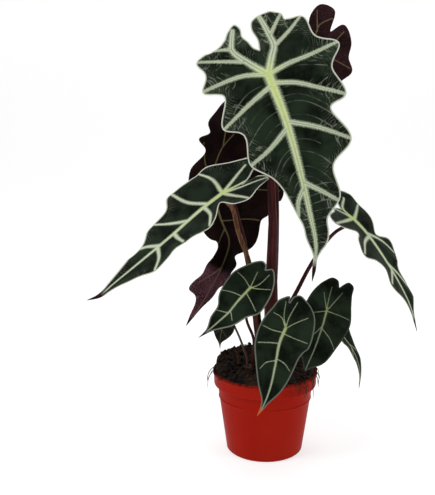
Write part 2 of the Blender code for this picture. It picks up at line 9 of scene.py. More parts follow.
import logging
import math
from dataclasses import dataclass, field
from enum import Enum
from typing import ClassVar

import bmesh
import bpy
import numpy as np
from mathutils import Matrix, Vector, noise
from mathutils.geometry import delaunay_2d_cdt


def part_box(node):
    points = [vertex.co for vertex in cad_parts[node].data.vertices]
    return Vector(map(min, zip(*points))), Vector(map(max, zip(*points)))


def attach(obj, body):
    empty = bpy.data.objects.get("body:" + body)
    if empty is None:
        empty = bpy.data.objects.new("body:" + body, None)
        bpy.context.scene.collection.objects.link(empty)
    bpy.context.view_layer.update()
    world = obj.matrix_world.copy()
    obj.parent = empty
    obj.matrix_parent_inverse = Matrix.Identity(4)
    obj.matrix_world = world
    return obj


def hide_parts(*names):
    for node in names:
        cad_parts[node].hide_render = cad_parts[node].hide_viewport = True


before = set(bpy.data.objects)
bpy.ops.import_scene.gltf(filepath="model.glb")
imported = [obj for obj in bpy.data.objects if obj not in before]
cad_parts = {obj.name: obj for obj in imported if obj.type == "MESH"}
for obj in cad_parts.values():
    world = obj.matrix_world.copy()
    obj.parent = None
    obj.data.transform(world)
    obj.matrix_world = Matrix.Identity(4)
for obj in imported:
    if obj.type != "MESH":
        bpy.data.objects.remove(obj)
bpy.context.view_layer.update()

log = logging.getLogger("alocasia")

MM = 0.001
SMOOTH = 180.0  # the sharp angle of a mesh without sharp edges, in degrees
FAR = 1e9
Path = tuple[tuple[float, ...], ...]
Colour = tuple[float, float, float]


class Slot(Enum):
    """The record's material slots."""

    POT = "pot_plastic"
    SOIL = "soil"
    CORM = "corm_skin"
    GREEN_BLADE = "blade_green"
    PURPLE_BLADE = "blade_purple"
    MAROON_STEM = "petiole_maroon"
    BROWN_STEM = "petiole_brown"
    GREEN_STEM = "petiole_green"
    DRY_STALK = "dry_stalk"


# ---------------------------------------------------------------- geometry helpers


def unit(vectors: np.ndarray) -> np.ndarray:
    """The vectors scaled to length 1."""
    return vectors / np.linalg.norm(vectors, axis=-1, keepdims=True)


def arc_length(points: np.ndarray) -> np.ndarray:
    """The distance along a line at each of its points."""
    return np.append(0.0, np.cumsum(np.linalg.norm(np.diff(points, axis=0), axis=1)))


def curve(points: Path, spacing: float) -> np.ndarray:
    """A smooth curve through some points.

    Args:
        points: The points that the curve goes through.
        spacing: About how far apart the points of the result are.

    Returns:
        The points of the curve, the first and the last one included.
    """
    knots = np.asarray(points, float)
    step = np.diff(knots, axis=0)
    gap = np.linalg.norm(step, axis=1)
    slope = step / gap[:, None]
    before = np.vstack([slope[:1], slope])
    after = np.vstack([slope, slope[-1:]])
    gap_before = np.append(gap[:1], gap)[:, None]
    gap_after = np.append(gap, gap[-1:])[:, None]
    tangent = (before * gap_after + after * gap_before) / (gap_before + gap_after)
    rows = []
    for i, length in enumerate(gap):
        count = max(1, round(length / spacing))
        t = np.arange(count)[:, None] / count
        rows.append(
            (2 * t**3 - 3 * t**2 + 1) * knots[i]
            + (t**3 - 2 * t**2 + t) * length * tangent[i]
            + (3 * t**2 - 2 * t**3) * knots[i + 1]
            + (t**3 - t**2) * length * tangent[i + 1]
        )
    rows.append(knots[-1:])
    return np.vstack(rows)


def resample(line: np.ndarray, count: int) -> np.ndarray:
    """The same line with evenly spaced points.

    Args:
        line: The points of the line.
        count: How many points the result has.

    Returns:
        The new points, the first and the last one kept.
    """
    run = arc_length(line)
    wanted = np.linspace(0, run[-1], count)
    return np.column_stack([np.interp(wanted, run, line[:, k]) for k in range(line.shape[1])])


def nearest_on(flat: np.ndarray, line: np.ndarray) -> tuple[np.ndarray, np.ndarray]:
    """Where flat points lie beside a flat line.

    Args:
        flat: The points, one per row.
        line: The points of the line.

    Returns:
        The distance of each point from the line, and the distance along the line of its foot.
    """
    start, step = line[:-1], np.diff(line, axis=0)
    run = arc_length(line)
    square = (step**2).sum(axis=1)
    offset = flat[:, None] - start[None]
    share = np.clip((offset * step).sum(axis=2) / square, 0, 1)
    away = np.linalg.norm(offset - share[..., None] * step, axis=2)
    best = away.argmin(axis=1)
    rows = np.arange(len(flat))
    return away[rows, best], run[best] + share[rows, best] * np.sqrt(square[best])


def within(flat: np.ndarray, outline: np.ndarray) -> np.ndarray:
    """Which flat points are inside a closed outline.

    Args:
        flat: The points, one per row.
        outline: The points of the outline, without the first one again at the end.

    Returns:
        True or False for each point.
    """
    start, end = outline, np.roll(outline, -1, axis=0)
    step = end - start
    height = np.where(step[:, 1] == 0, 1, step[:, 1])
    rising = (start[:, 1] <= flat[:, None, 1]) != (end[:, 1] <= flat[:, None, 1])
    crossing = start[:, 0] + (flat[:, None, 1] - start[:, 1]) / height * step[:, 0]
    return np.count_nonzero(rising & (crossing > flat[:, None, 0]), axis=1) % 2 == 1


def hexagonal(low: np.ndarray, high: np.ndarray, step: float) -> np.ndarray:
    """Flat points in staggered rows that fill a rectangle.

    Args:
        low: The rectangle's lowest corner.
        high: Its highest corner.
        step: The distance between neighbours.

    Returns:
        The points, one per row.
    """
    rows = np.arange(low[1], high[1], step * math.sqrt(3) / 2)
    columns = np.arange(low[0], high[0], step)
    return np.array([(x + (i % 2) * step / 2, y) for i, y in enumerate(rows) for x in columns])


def border_of(triangles: list[tuple[int, int, int]]) -> list[tuple[int, int]]:
    """The directed edges that only one triangle has."""
    sides = {side for a, b, c in triangles for side in ((a, b), (b, c), (c, a))}
    return sorted(side for side in sides if (side[1], side[0]) not in sides)


def cross_frames(path: np.ndarray) -> tuple[np.ndarray, np.ndarray]:
    """Two directions across a path at each of its points, without twist.

    Args:
        path: The points of the path.

    Returns:
        The sideways and the frontal unit vectors.
    """
    ahead = unit(np.gradient(path, axis=0))
    side = unit(np.cross(ahead[0], [0.0, 1.0, 0.0]))
    sides = []
    for tangent in ahead:
        side = unit(side - (side @ tangent) * tangent)
        sides.append(side)
    across = np.array(sides)
    return across, np.cross(ahead, across)


def swept(path: np.ndarray, radii: np.ndarray, sides: int) -> tuple[np.ndarray, list]:
    """A round closed tube along a path.

    Args:
        path: The centre line.
        radii: The radius at each point of the path, as one column, or one column for each side.
        sides: How many points go round.

    Returns:
        The points and the faces.
    """
    across, front = cross_frames(path)
    turns = np.arange(sides) / sides * 2 * math.pi
    ring = np.cos(turns)[None, :, None] * across[:, None] + np.sin(turns)[None, :, None] * front[:, None]
    points = (path[:, None] + radii.reshape(len(path), -1, 1) * ring).reshape(-1, 3)
    faces = [tuple(range(sides))[::-1], tuple(range(len(points) - sides, len(points)))]
    for i in range(len(path) - 1):
        for j in range(sides):
            k = (j + 1) % sides
            faces.append((i * sides + j, i * sides + k, (i + 1) * sides + k, (i + 1) * sides + j))
    return points, faces


def merged(parts: list[tuple[np.ndarray, list]]) -> tuple[np.ndarray, list]:
    """Several sets of points and faces as one set.

    Args:
        parts: Points and faces of each set.

    Returns:
        The points and the faces of all of them.
    """
    points, faces, count = [], [], 0
    for some, corners in parts:
        points.append(some)
        faces += [tuple(v + count for v in face) for face in corners]
        count += len(some)
    return np.vstack(points), faces


def roughness_at(points: np.ndarray, scale: float, depth: int, shift: float = 0.0) -> np.ndarray:
    """Fractal noise between about -1 and 1 at some points.

    Args:
        points: The points in millimetres.
        scale: The size of the largest features.
        depth: How many octaves are added.
        shift: Moves the pattern, so that two surfaces differ.

    Returns:
        One value for each point.
    """
    away = Vector((shift, -shift, shift / 2))
    return np.array([noise.fractal(Vector(p) / scale + away, 1.0, 2.0, depth) for p in points])


def add_mesh(
    name: str,
    points: np.ndarray,
    faces: list,
    materials: list[bpy.types.Material],
    sharp: float = 60.0,
) -> bpy.types.Object:
    """A smooth-shaded mesh object from points in millimetres.

    Args:
        name: The piece's name.
        points: The points, one per row.
        faces: The corners of each face.
        materials: The materials of the object's slots.
        sharp: Edges that turn by more degrees than this stay sharp.

    Returns:
        The new object, linked to the scene.
    """
    mesh = bpy.data.meshes.new(name)
    mesh.from_pydata([tuple(p * MM) for p in np.asarray(points, float)], [], faces)
    mesh.validate()
    shape = bmesh.new()
    shape.from_mesh(mesh)
    bmesh.ops.recalc_face_normals(shape, faces=shape.faces)
    shape.to_mesh(mesh)
    shape.free()
    mesh.shade_smooth()
    mesh.set_sharp_from_angle(angle=math.radians(sharp))
    for material in materials:
        mesh.materials.append(material)
    piece = bpy.data.objects.new(name, mesh)
    bpy.context.scene.collection.objects.link(piece)
    return piece


def add_values(piece: bpy.types.Object, name: str, values: np.ndarray) -> None:
    """Gives a mesh one number for each of its points, for its material to read."""
    layer = piece.data.attributes.new(name, "FLOAT", "POINT")
    layer.data.foreach_set("value", np.asarray(values, np.float32))


def settle(piece: bpy.types.Object, slot: Slot, *nodes: str) -> bpy.types.Object:
    """Puts a piece on the plant's one body and hides the CAD nodes that it stands for.

    Args:
        piece: The finished piece.
        slot: The material slot that it takes its finish from; not used.
        nodes: The CAD nodes that it replaces.

    Returns:
        The same piece.
    """
    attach(piece, "root")
    if nodes:
        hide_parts(*nodes)
    log.info("%s: %d faces", piece.name, len(piece.data.polygons))
    return piece


# ---------------------------------------------------------------- shader helpers


class Graph:
    """Adds nodes to a shader tree and links them."""

    def __init__(self, tree: bpy.types.NodeTree) -> None:
        """Keeps the tree that the nodes go into."""
        self.tree = tree

    def feed(self, socket: bpy.types.NodeSocket, value: object) -> None:
        """Links a socket to an input, or sets the input to a plain value.

        Args:
            socket: The input.
            value: An output to link, or a number, vector or colour.
        """
        if isinstance(value, bpy.types.NodeSocket):
            self.tree.links.new(value, socket)
        elif isinstance(value, tuple) and socket.type == "RGBA":
            socket.default_value = (*value, 1.0)
        else:
            socket.default_value = value

    def node(self, kind: str, inputs: dict | None = None, **settings: object) -> bpy.types.Node:
        """A new node.

        Args:
            kind: The node's type without the ShaderNode in front.
            inputs: Values or sockets by the name or the number of the input.
            settings: The node's own settings.

        Returns:
            The node.
        """
        made = self.tree.nodes.new("ShaderNode" + kind)
        for key, value in settings.items():
            setattr(made, key, value)
        for key, value in (inputs or {}).items():
            self.feed(made.inputs[key], value)
        return made

    def math(self, operation: str, *values: object) -> bpy.types.NodeSocket:
        """The result of a Math node."""
        return self.node("Math", dict(enumerate(values)), operation=operation).outputs[0]

    def times(self, first: object, second: object) -> bpy.types.NodeSocket:
        """The product of two values."""
        return self.math("MULTIPLY", first, second)

    def plus(self, first: object, second: object) -> bpy.types.NodeSocket:
        """The sum of two values."""
        return self.math("ADD", first, second)

    def minus(self, first: object, second: object) -> bpy.types.NodeSocket:
        """The first value less the second one."""
        return self.math("SUBTRACT", first, second)

    def mix(self, share: object, first: object, second: object) -> bpy.types.NodeSocket:
        """The first colour turned into the second one by a share from 0 to 1."""
        return self.node("Mix", {0: share, 6: first, 7: second}, data_type="RGBA").outputs[2]

    def fade(self, value: object, start: object, end: object) -> bpy.types.NodeSocket:
        """0 where a value is at `start`, 1 where it is at `end`, and smooth between them."""
        inputs = {"Value": value, "From Min": start, "From Max": end}
        return self.node("MapRange", inputs, interpolation_type="SMOOTHSTEP").outputs[0]

    def between(self, value: object, low: object, high: object) -> bpy.types.NodeSocket:
        """A mask from 0 to 1 stretched to run from `low` to `high`."""
        return self.node("MapRange", {"Value": value, "To Min": low, "To Max": high}).outputs[0]

    def place(self) -> bpy.types.NodeSocket:
        """The point's coordinates on the object, in metres."""
        return self.node("TexCoord").outputs["Object"]

    def read(self, name: str) -> bpy.types.NodeSocket:
        """A number that the mesh carries for each point."""
        return self.node("Attribute", attribute_name=name).outputs["Fac"]

    def noise(
        self, scale: object, detail: float = 3.0, rough: float = 0.5, at: object = None
    ) -> bpy.types.NodeSocket:
        """Noise from 0 to 1.

        Args:
            scale: Features per metre.
            detail: How many octaves are added.
            rough: How strong the small octaves are.
            at: The coordinates, or None for the object's own.

        Returns:
            The socket with the value.
        """
        where = self.place() if at is None else at
        inputs = {"Vector": where, "Scale": scale, "Detail": detail, "Roughness": rough}
        return self.node("TexNoise", inputs).outputs["Fac"]


@dataclass(frozen=True)
class Effect:
    """A node group with named inputs and outputs that several materials share."""

    name: str
    inputs: dict[str, float]
    outputs: tuple[str, ...]

    def wire(self, graph: Graph, given: dict) -> dict[str, bpy.types.NodeSocket]:
        """Builds the inside of the group; each effect has its own."""
        raise NotImplementedError

    def tree(self) -> bpy.types.NodeTree:
        """The group, built the first time that it is asked for.

        Returns:
            The group's node tree.
        """
        if self.name in bpy.data.node_groups:
            return bpy.data.node_groups[self.name]
        made = bpy.data.node_groups.new(self.name, "ShaderNodeTree")
        for name, value in self.inputs.items():
            socket = made.interface.new_socket(name, in_out="INPUT", socket_type="NodeSocketFloat")
            socket.default_value = value
        for name in self.outputs:
            made.interface.new_socket(name, in_out="OUTPUT", socket_type="NodeSocketFloat")
        entry, leave = made.nodes.new("NodeGroupInput"), made.nodes.new("NodeGroupOutput")
        graph = Graph(made)
        for name, value in self.wire(graph, entry.outputs).items():
            graph.feed(leave.inputs[name], value)
        return made

    def add(self, graph: Graph, **values: object) -> dict[str, bpy.types.NodeSocket]:
        """Places the group in a material.

        Args:
            graph: The material's graph.
            values: Values or sockets by the input's name.

        Returns:
            The group's outputs by name.
        """
        made = graph.node("Group", None, node_tree=self.tree())
        for name, value in values.items():
            graph.feed(made.inputs[name], value)
        return made.outputs


class Mottle(Effect):
    """Broad blotches, fine specks and a soft grain for living and moulded skins."""

    def wire(self, graph: Graph, given: dict) -> dict[str, bpy.types.NodeSocket]:
        """Three noises of different sizes.

        Args:
            graph: The group's own graph.
            given: The group's inputs by name.

        Returns:
            The sockets by output name.
        """
        broad = graph.noise(graph.times(given["Scale"], 0.16), 2.0)
        specks = graph.noise(given["Scale"], 4.0, 0.6)
        grain = graph.noise(graph.times(given["Scale"], 5.0), 2.0)
        return {
            "Broad": graph.fade(broad, 0.32, 0.68),
            "Specks": graph.fade(specks, 0.40, 0.75),
            "Grain": grain,
        }


class VeinBands(Effect):
    """The pale drawing of a blade, from distances that its mesh carries in millimetres."""

    HAIR_GAP: ClassVar[float] = 2.9
    HAIR_DRIFT: ClassVar[float] = 8.0
    FRINGE: ClassVar[float] = 16.0
    THREAD_HALF: ClassVar[float] = 0.90
    RIM: ClassVar[float] = 2.0

    def wire(self, graph: Graph, given: dict) -> dict[str, bpy.types.NodeSocket]:
        """Bands, cores, halos, hairs, threads and the margin line.

        Args:
            graph: The group's own graph.
            given: The group's inputs by name.

        Returns:
            The sockets by output name.
        """
        ragged = graph.times(graph.minus(graph.noise(700.0, 3.0, 0.6), 0.5), given["Soft"])
        drift = graph.times(graph.minus(graph.noise(160.0, 3.0), 0.5), self.HAIR_DRIFT)
        patchy = graph.between(graph.fade(graph.noise(90.0, 3.0), 0.38, 0.62), 0.15, 1.0)
        past = graph.plus(graph.minus(given["Away"], given["Half"]), ragged)
        share = graph.math("DIVIDE", given["Away"], graph.plus(given["Half"], 0.05))
        ahead = graph.minus(given["Along"], graph.times(given["Away"], 0.45))
        ahead = graph.plus(ahead, drift)
        hair = graph.math("SINE", graph.times(ahead, 2 * math.pi / self.HAIR_GAP))
        close = graph.fade(past, given["Reach"], 0.0)
        fringe = graph.times(graph.fade(given["Margin"], self.FRINGE, 3.0), graph.times(patchy, 0.28))
        thread = graph.times(graph.fade(given["Thread"], self.THREAD_HALF, 0.0), patchy)
        thread = graph.times(thread, graph.between(graph.fade(given["Margin"], 30.0, 6.0), 0.4, 1.0))
        return {
            "Band": graph.fade(past, graph.times(given["Soft"], 0.45), graph.times(given["Soft"], -0.45)),
            "Core": graph.fade(share, 0.38, 0.10),
            "Inner": graph.fade(share, 1.05, 0.45),
            "Halo": graph.fade(past, graph.times(given["Reach"], 1.2), -0.5),
            "Hairs": graph.times(graph.fade(hair, 0.1, 0.95), graph.math("MAXIMUM", close, fringe)),
            "Threads": thread,
            "Rim": graph.fade(given["Margin"], self.RIM, 0.6),
        }


class Fibres(Effect):
    """Long streaks that run up a stem."""

    def wire(self, graph: Graph, given: dict) -> dict[str, bpy.types.NodeSocket]:
        """Noise that is squeezed along the height.

        Args:
            graph: The group's own graph.
            given: The group's inputs by name.

        Returns:
            The sockets by output name.
        """
        stretch = graph.node("Mapping", {"Vector": graph.place(), "Scale": (1.0, 1.0, 0.06)}).outputs[0]
        coarse = graph.noise(given["Scale"], 3.0, 0.5, stretch)
        fine = graph.noise(graph.times(given["Scale"], 3.2), 2.0, 0.5, stretch)
        return {"Streaks": graph.fade(coarse, 0.36, 0.66), "Lines": fine}


MOTTLE = Mottle("Mottle", {"Scale": 200.0}, ("Broad", "Specks", "Grain"))
VEIN_BANDS = VeinBands(
    "Vein bands",
    {"Away": 9.0, "Half": 1.0, "Along": 0.0, "Thread": 9.0, "Margin": 9.0, "Reach": 2.5, "Soft": 1.0},
    ("Band", "Core", "Inner", "Halo", "Hairs", "Threads", "Rim"),
)
FIBRES = Fibres("Stem fibres", {"Scale": 900.0}, ("Streaks", "Lines"))


def start_material(name: str, **fixed: object) -> tuple[bpy.types.Material, Graph, bpy.types.Node]:
    """A material with its Principled shader.

    Args:
        name: The material's name.
        fixed: Inputs that are the same all over, with underscores for the spaces in their names.

    Returns:
        The material, its graph and its shader.
    """
    material = bpy.data.materials.new(name)
    material.use_nodes = True
    shader = material.node_tree.nodes["Principled BSDF"]
    for key, value in fixed.items():
        shader.inputs[key.replace("_", " ")].default_value = value
    return material, Graph(material.node_tree), shader


def raise_bump(
    graph: Graph, shader: bpy.types.Node, height: object, depth: float, strength: float = 1.0
) -> None:
    """Feeds the shader's normal from a height.

    Args:
        graph: The material's graph.
        shader: The Principled shader.
        height: The socket with the height, from 0 to 1.
        depth: What a height of 1 means, in millimetres.
        strength: The share of the bump that is used.
    """
    inputs = {"Height": height, "Distance": depth * MM, "Strength": strength}
    graph.feed(shader.inputs["Normal"], graph.node("Bump", inputs).outputs[0])


@dataclass(frozen=True)
class UpperFace:
    """The dark upper face of a blade with its pale drawing."""

    name: str = "blade upper face"
    deep: Colour = (0.0038, 0.0058, 0.0033)
    fresh: Colour = (0.0162, 0.0260, 0.0152)
    pale: Colour = (0.610, 0.660, 0.510)
    soft: Colour = (0.370, 0.430, 0.310)
    yellow: Colour = (0.620, 0.720, 0.270)
    middle: Colour = (0.190, 0.250, 0.120)
    rim: Colour = (0.600, 0.640, 0.520)
    drip: Colour = (0.022, 0.007, 0.009)
    dry: Colour = (0.480, 0.130, 0.040)
    tinge: Colour = (0.020, 0.0075, 0.0085)
    specks: float = 0.35
    halo: float = 0.55
    hairs: float = 0.45
    threads: float = 0.23
    band: float = 0.90
    depth: float = 0.22

    def material(self) -> bpy.types.Material:
        """The material, which reads the distances that the blade's mesh carries.

        Returns:
            The new material.
        """
        made, graph, shader = start_material(self.name, Specular_IOR_Level=0.015)
        skin = MOTTLE.add(graph, Scale=260.0)
        drawn = VEIN_BANDS.add(
            graph,
            Away=graph.read("away"),
            Half=graph.read("half"),
            Along=graph.read("along"),
            Thread=graph.read("thread"),
            Margin=graph.read("margin"),
            Reach=graph.read("reach"),
            Soft=graph.between(graph.read("large"), 0.8, 2.8),
        )
        colour = graph.mix(skin["Broad"], self.deep, self.fresh)
        colour = graph.mix(graph.times(skin["Specks"], self.specks), colour, self.fresh)
        colour = graph.mix(graph.read("tinge"), colour, self.tinge)
        shown = graph.times(drawn["Halo"], graph.times(graph.read("clear"), self.halo))
        colour = graph.mix(shown, colour, self.middle)
        shown = graph.times(drawn["Threads"], graph.between(graph.read("large"), 0.12, self.threads))
        colour = graph.mix(shown, colour, self.pale)
        hairy = graph.fade(graph.read("large"), 0.3, 1.0)
        shown = graph.times(drawn["Hairs"], graph.between(hairy, 0.0, self.hairs))
        colour = graph.mix(shown, colour, self.pale)
        band = graph.mix(drawn["Inner"], self.soft, self.pale)
        band = graph.mix(graph.times(graph.read("young"), drawn["Inner"]), band, self.yellow)
        core = graph.times(drawn["Core"], graph.between(graph.read("young"), 0.75, 0.10))
        core = graph.times(core, graph.fade(graph.read("large"), 0.7, 1.0))
        band = graph.mix(core, band, self.middle)
        band = graph.mix(graph.times(skin["Specks"], 0.18), band, self.middle)
        shown = graph.times(drawn["Band"], graph.times(graph.read("clear"), self.band))
        colour = graph.mix(shown, colour, band)
        shown = graph.times(drawn["Rim"], graph.math("POWER", graph.read("clear"), 3.0))
        colour = graph.mix(shown, colour, self.rim)
        ending = graph.mix(graph.read("dry"), self.drip, self.dry)
        colour = graph.mix(graph.read("drip"), colour, ending)
        graph.feed(shader.inputs["Base Color"], colour)
        rough = graph.plus(graph.between(skin["Broad"], 0.40, 0.50), graph.times(drawn["Band"], 0.12))
        graph.feed(shader.inputs["Roughness"], rough)
        height = graph.plus(graph.times(skin["Grain"], 0.35), drawn["Band"])
        height = graph.minus(height, graph.times(drawn["Threads"], 0.5))
        raise_bump(graph, shader, height, self.depth, 0.8)
        return made


@dataclass(frozen=True)
class LowerFace:
    """The purple lower face of a blade, with raised ribs and a fine net, and painted light: plum patches and
    a pale net where the blade is marked as lit.
    """

    name: str = "blade lower face"
    deep: Colour = (0.0035, 0.0015, 0.0013)
    dusk: Colour = (0.0110, 0.0042, 0.0040)
    # Plum tints the thin veins, and is also the colour of the painted light on lit patches.
    plum_threads_and_painted_light: Colour = (0.1150, 0.0420, 0.0560)
    # The net colour is mostly painted light: it shows where the blade is marked as lit.
    net: Colour = (0.2600, 0.1300, 0.1500)
    rib: Colour = (0.2700, 0.2200, 0.1000)
    drip: Colour = (0.0200, 0.0070, 0.0090)
    net_scale: float = 420.0
    rib_share: float = 0.55
    depth: float = 0.20

    def material(self) -> bpy.types.Material:
        """The material, which reads the distances that the blade's mesh carries.

        Returns:
            The new material.
        """
        made, graph, shader = start_material(self.name, Specular_IOR_Level=0.02)
        skin = MOTTLE.add(graph, Scale=220.0)
        drawn = VEIN_BANDS.add(
            graph,
            Away=graph.read("away"),
            Half=graph.times(graph.read("half"), self.rib_share),
            Along=graph.read("along"),
            Thread=graph.read("thread"),
            Margin=graph.read("margin"),
            Reach=1.2,
            Soft=1.2,
        )
        where = {"Vector": graph.place(), "Scale": self.net_scale}
        cells = graph.node("TexVoronoi", where, feature="DISTANCE_TO_EDGE")
        net = graph.fade(cells.outputs["Distance"], 0.12, 0.02)
        colour = graph.mix(skin["Broad"], self.deep, self.dusk)
        # Painted light: plum blotches on the parts of the blade marked as lit.
        shown = graph.times(graph.read("painted_light"), graph.between(skin["Broad"], 0.2, 1.0))
        colour = graph.mix(shown, colour, self.plum_threads_and_painted_light)
        # Painted light: the pale net shows mostly on the parts marked as lit.
        shown = graph.times(net, graph.between(graph.read("painted_light"), 0.02, 0.60))
        colour = graph.mix(shown, colour, self.net)
        colour = graph.mix(graph.times(drawn["Threads"], 0.35), colour, self.plum_threads_and_painted_light)
        shown = graph.times(drawn["Band"], graph.between(graph.read("young"), 0.10, 0.95))
        colour = graph.mix(shown, colour, self.rib)
        # Painted highlight: the ribs take the net colour where the blade is marked as lit.
        shown = graph.times(drawn["Band"], graph.times(graph.read("painted_light"), 0.5))
        colour = graph.mix(shown, colour, self.net)
        colour = graph.mix(graph.read("drip"), colour, self.drip)
        graph.feed(shader.inputs["Base Color"], colour)
        graph.feed(shader.inputs["Roughness"], graph.between(skin["Broad"], 0.42, 0.56))
        height = graph.plus(graph.times(net, 0.5), graph.times(drawn["Threads"], 0.8))
        raise_bump(graph, shader, graph.plus(height, skin["Grain"]), self.depth, 0.7)
        return made


@dataclass(frozen=True)
class StemSkin:
    """The skin of a petiole, with its streaks, specks and a paler foot."""

    name: str
    deep: Colour
    bright: Colour
    foot: Colour
    gloss: float = 0.34

    def material(self) -> bpy.types.Material:
        """The material, which reads how far up its stem each point is.

        Returns:
            The new material.
        """
        made, graph, shader = start_material(self.name, Specular_IOR_Level=0.10)
        skin = MOTTLE.add(graph, Scale=420.0)
        long = FIBRES.add(graph, Scale=480.0)
        colour = graph.mix(graph.times(long["Streaks"], 0.7), self.deep, self.bright)
        colour = graph.mix(graph.times(skin["Specks"], 0.45), colour, self.deep)
        colour = graph.mix(graph.fade(graph.read("rise"), 0.55, 0.10), colour, self.foot)
        graph.feed(shader.inputs["Base Color"], colour)
        graph.feed(shader.inputs["Roughness"], graph.between(skin["Broad"], self.gloss, self.gloss + 0.12))
        height = graph.plus(long["Lines"], graph.times(skin["Grain"], 0.4))
        raise_bump(graph, shader, height, 0.16, 0.7)
        return made


@dataclass(frozen=True)
class PotPlastic:
    """Thin moulded plastic with faint flow marks, soft scuffs, a dusting of soil at the rim and painted
    shade near the foot.
    """

    red: Colour = (0.318, 0.0095, 0.0040)
    light: Colour = (0.350, 0.0150, 0.0065)
    # Soil colour for the lip and the band, also used as painted shade near the foot.
    dust_and_shade: Colour = (0.022, 0.008, 0.005)
    rim_height: float = 95.5
    lip_depth: float = 4.5
    smear_depth: float = 24.0
    spill_start: float = 46.0
    spill_end: float = 58.0
    runs_start: float = 12.0
    runs_end: float = 34.0

    def material(self) -> bpy.types.Material:
        """The material, with soil on the lip, in the mouth and in runs down the right of the band, and
        darker patches near the foot that are soil dusting and painted shade.

        Returns:
            The new material.
        """
        made, graph, shader = start_material("pot plastic", Specular_IOR_Level=0.02)
        skin = MOTTLE.add(graph, Scale=130.0)
        colour = graph.mix(graph.between(skin["Broad"], 0.1, 0.6), self.red, self.light)
        where = graph.node("SeparateXYZ", {0: graph.place()}).outputs
        top = graph.fade(where["Z"], (self.rim_height - self.lip_depth) * MM, (self.rim_height - 0.3) * MM)
        patch = graph.fade(graph.noise(240.0, 5.0, 0.65), 0.42, 0.60)
        spilt = graph.fade(where["X"], -self.spill_start * MM, -self.spill_end * MM)
        spilt = graph.math("MAXIMUM", graph.between(patch, 0.35, 0.95), spilt)
        lip = graph.times(top, spilt)
        band = graph.fade(where["Z"], (self.rim_height - self.smear_depth) * MM, (self.rim_height - 2) * MM)
        right = graph.fade(where["X"], self.runs_start * MM, self.runs_end * MM)
        runs = graph.times(FIBRES.add(graph, Scale=420.0)["Streaks"], right)
        runs = graph.times(graph.times(runs, band), graph.between(patch, 0.2, 0.9))
        # Darker near the foot: soil dusting and painted shade where the pot stands on the floor.
        low = graph.times(graph.fade(where["Z"], 6 * MM, 0.0), graph.times(patch, 0.4))
        dust_and_shade_mask = graph.math("MAXIMUM", graph.math("MAXIMUM", lip, runs), low)
        colour = graph.mix(dust_and_shade_mask, colour, self.dust_and_shade)
        scuffs = graph.times(graph.fade(graph.noise(900.0, 2.0), 0.62, 0.72), 0.10)
        colour = graph.mix(scuffs, colour, self.light)
        graph.feed(shader.inputs["Base Color"], colour)
        rough = graph.plus(graph.between(skin["Broad"], 0.36, 0.46), graph.times(dust_and_shade_mask, 0.5))
        graph.feed(shader.inputs["Roughness"], rough)
        height = graph.plus(graph.times(skin["Grain"], 0.5), graph.times(skin["Broad"], 0.6))
        raise_bump(graph, shader, graph.plus(height, dust_and_shade_mask), 0.10, 0.6)
        return made


@dataclass(frozen=True)
class Crumble:
    """A loose or dry rough stuff: peat, coir, corm skin or a dead stalk."""

    name: str
    deep: Colour
    light: Colour
    scale: float
    depth: float

    def material(self) -> bpy.types.Material:
        """The material, with blotches and a rough bump.

        Returns:
            The new material.
        """
        made, graph, shader = start_material(self.name, Specular_IOR_Level=0.2)
        skin = MOTTLE.add(graph, Scale=self.scale)
        colour = graph.mix(skin["Broad"], self.deep, self.light)
        colour = graph.mix(graph.times(skin["Specks"], 0.6), colour, self.light)
        colour = graph.mix(graph.fade(skin["Grain"], 0.45, 0.25), colour, self.deep)
        graph.feed(shader.inputs["Base Color"], colour)
        graph.feed(shader.inputs["Roughness"], graph.between(skin["Specks"], 0.80, 0.98))
        height = graph.plus(skin["Specks"], graph.times(skin["Grain"], 0.6))
        raise_bump(graph, shader, height, self.depth)
        return made


# ---------------------------------------------------------------- pot and soil


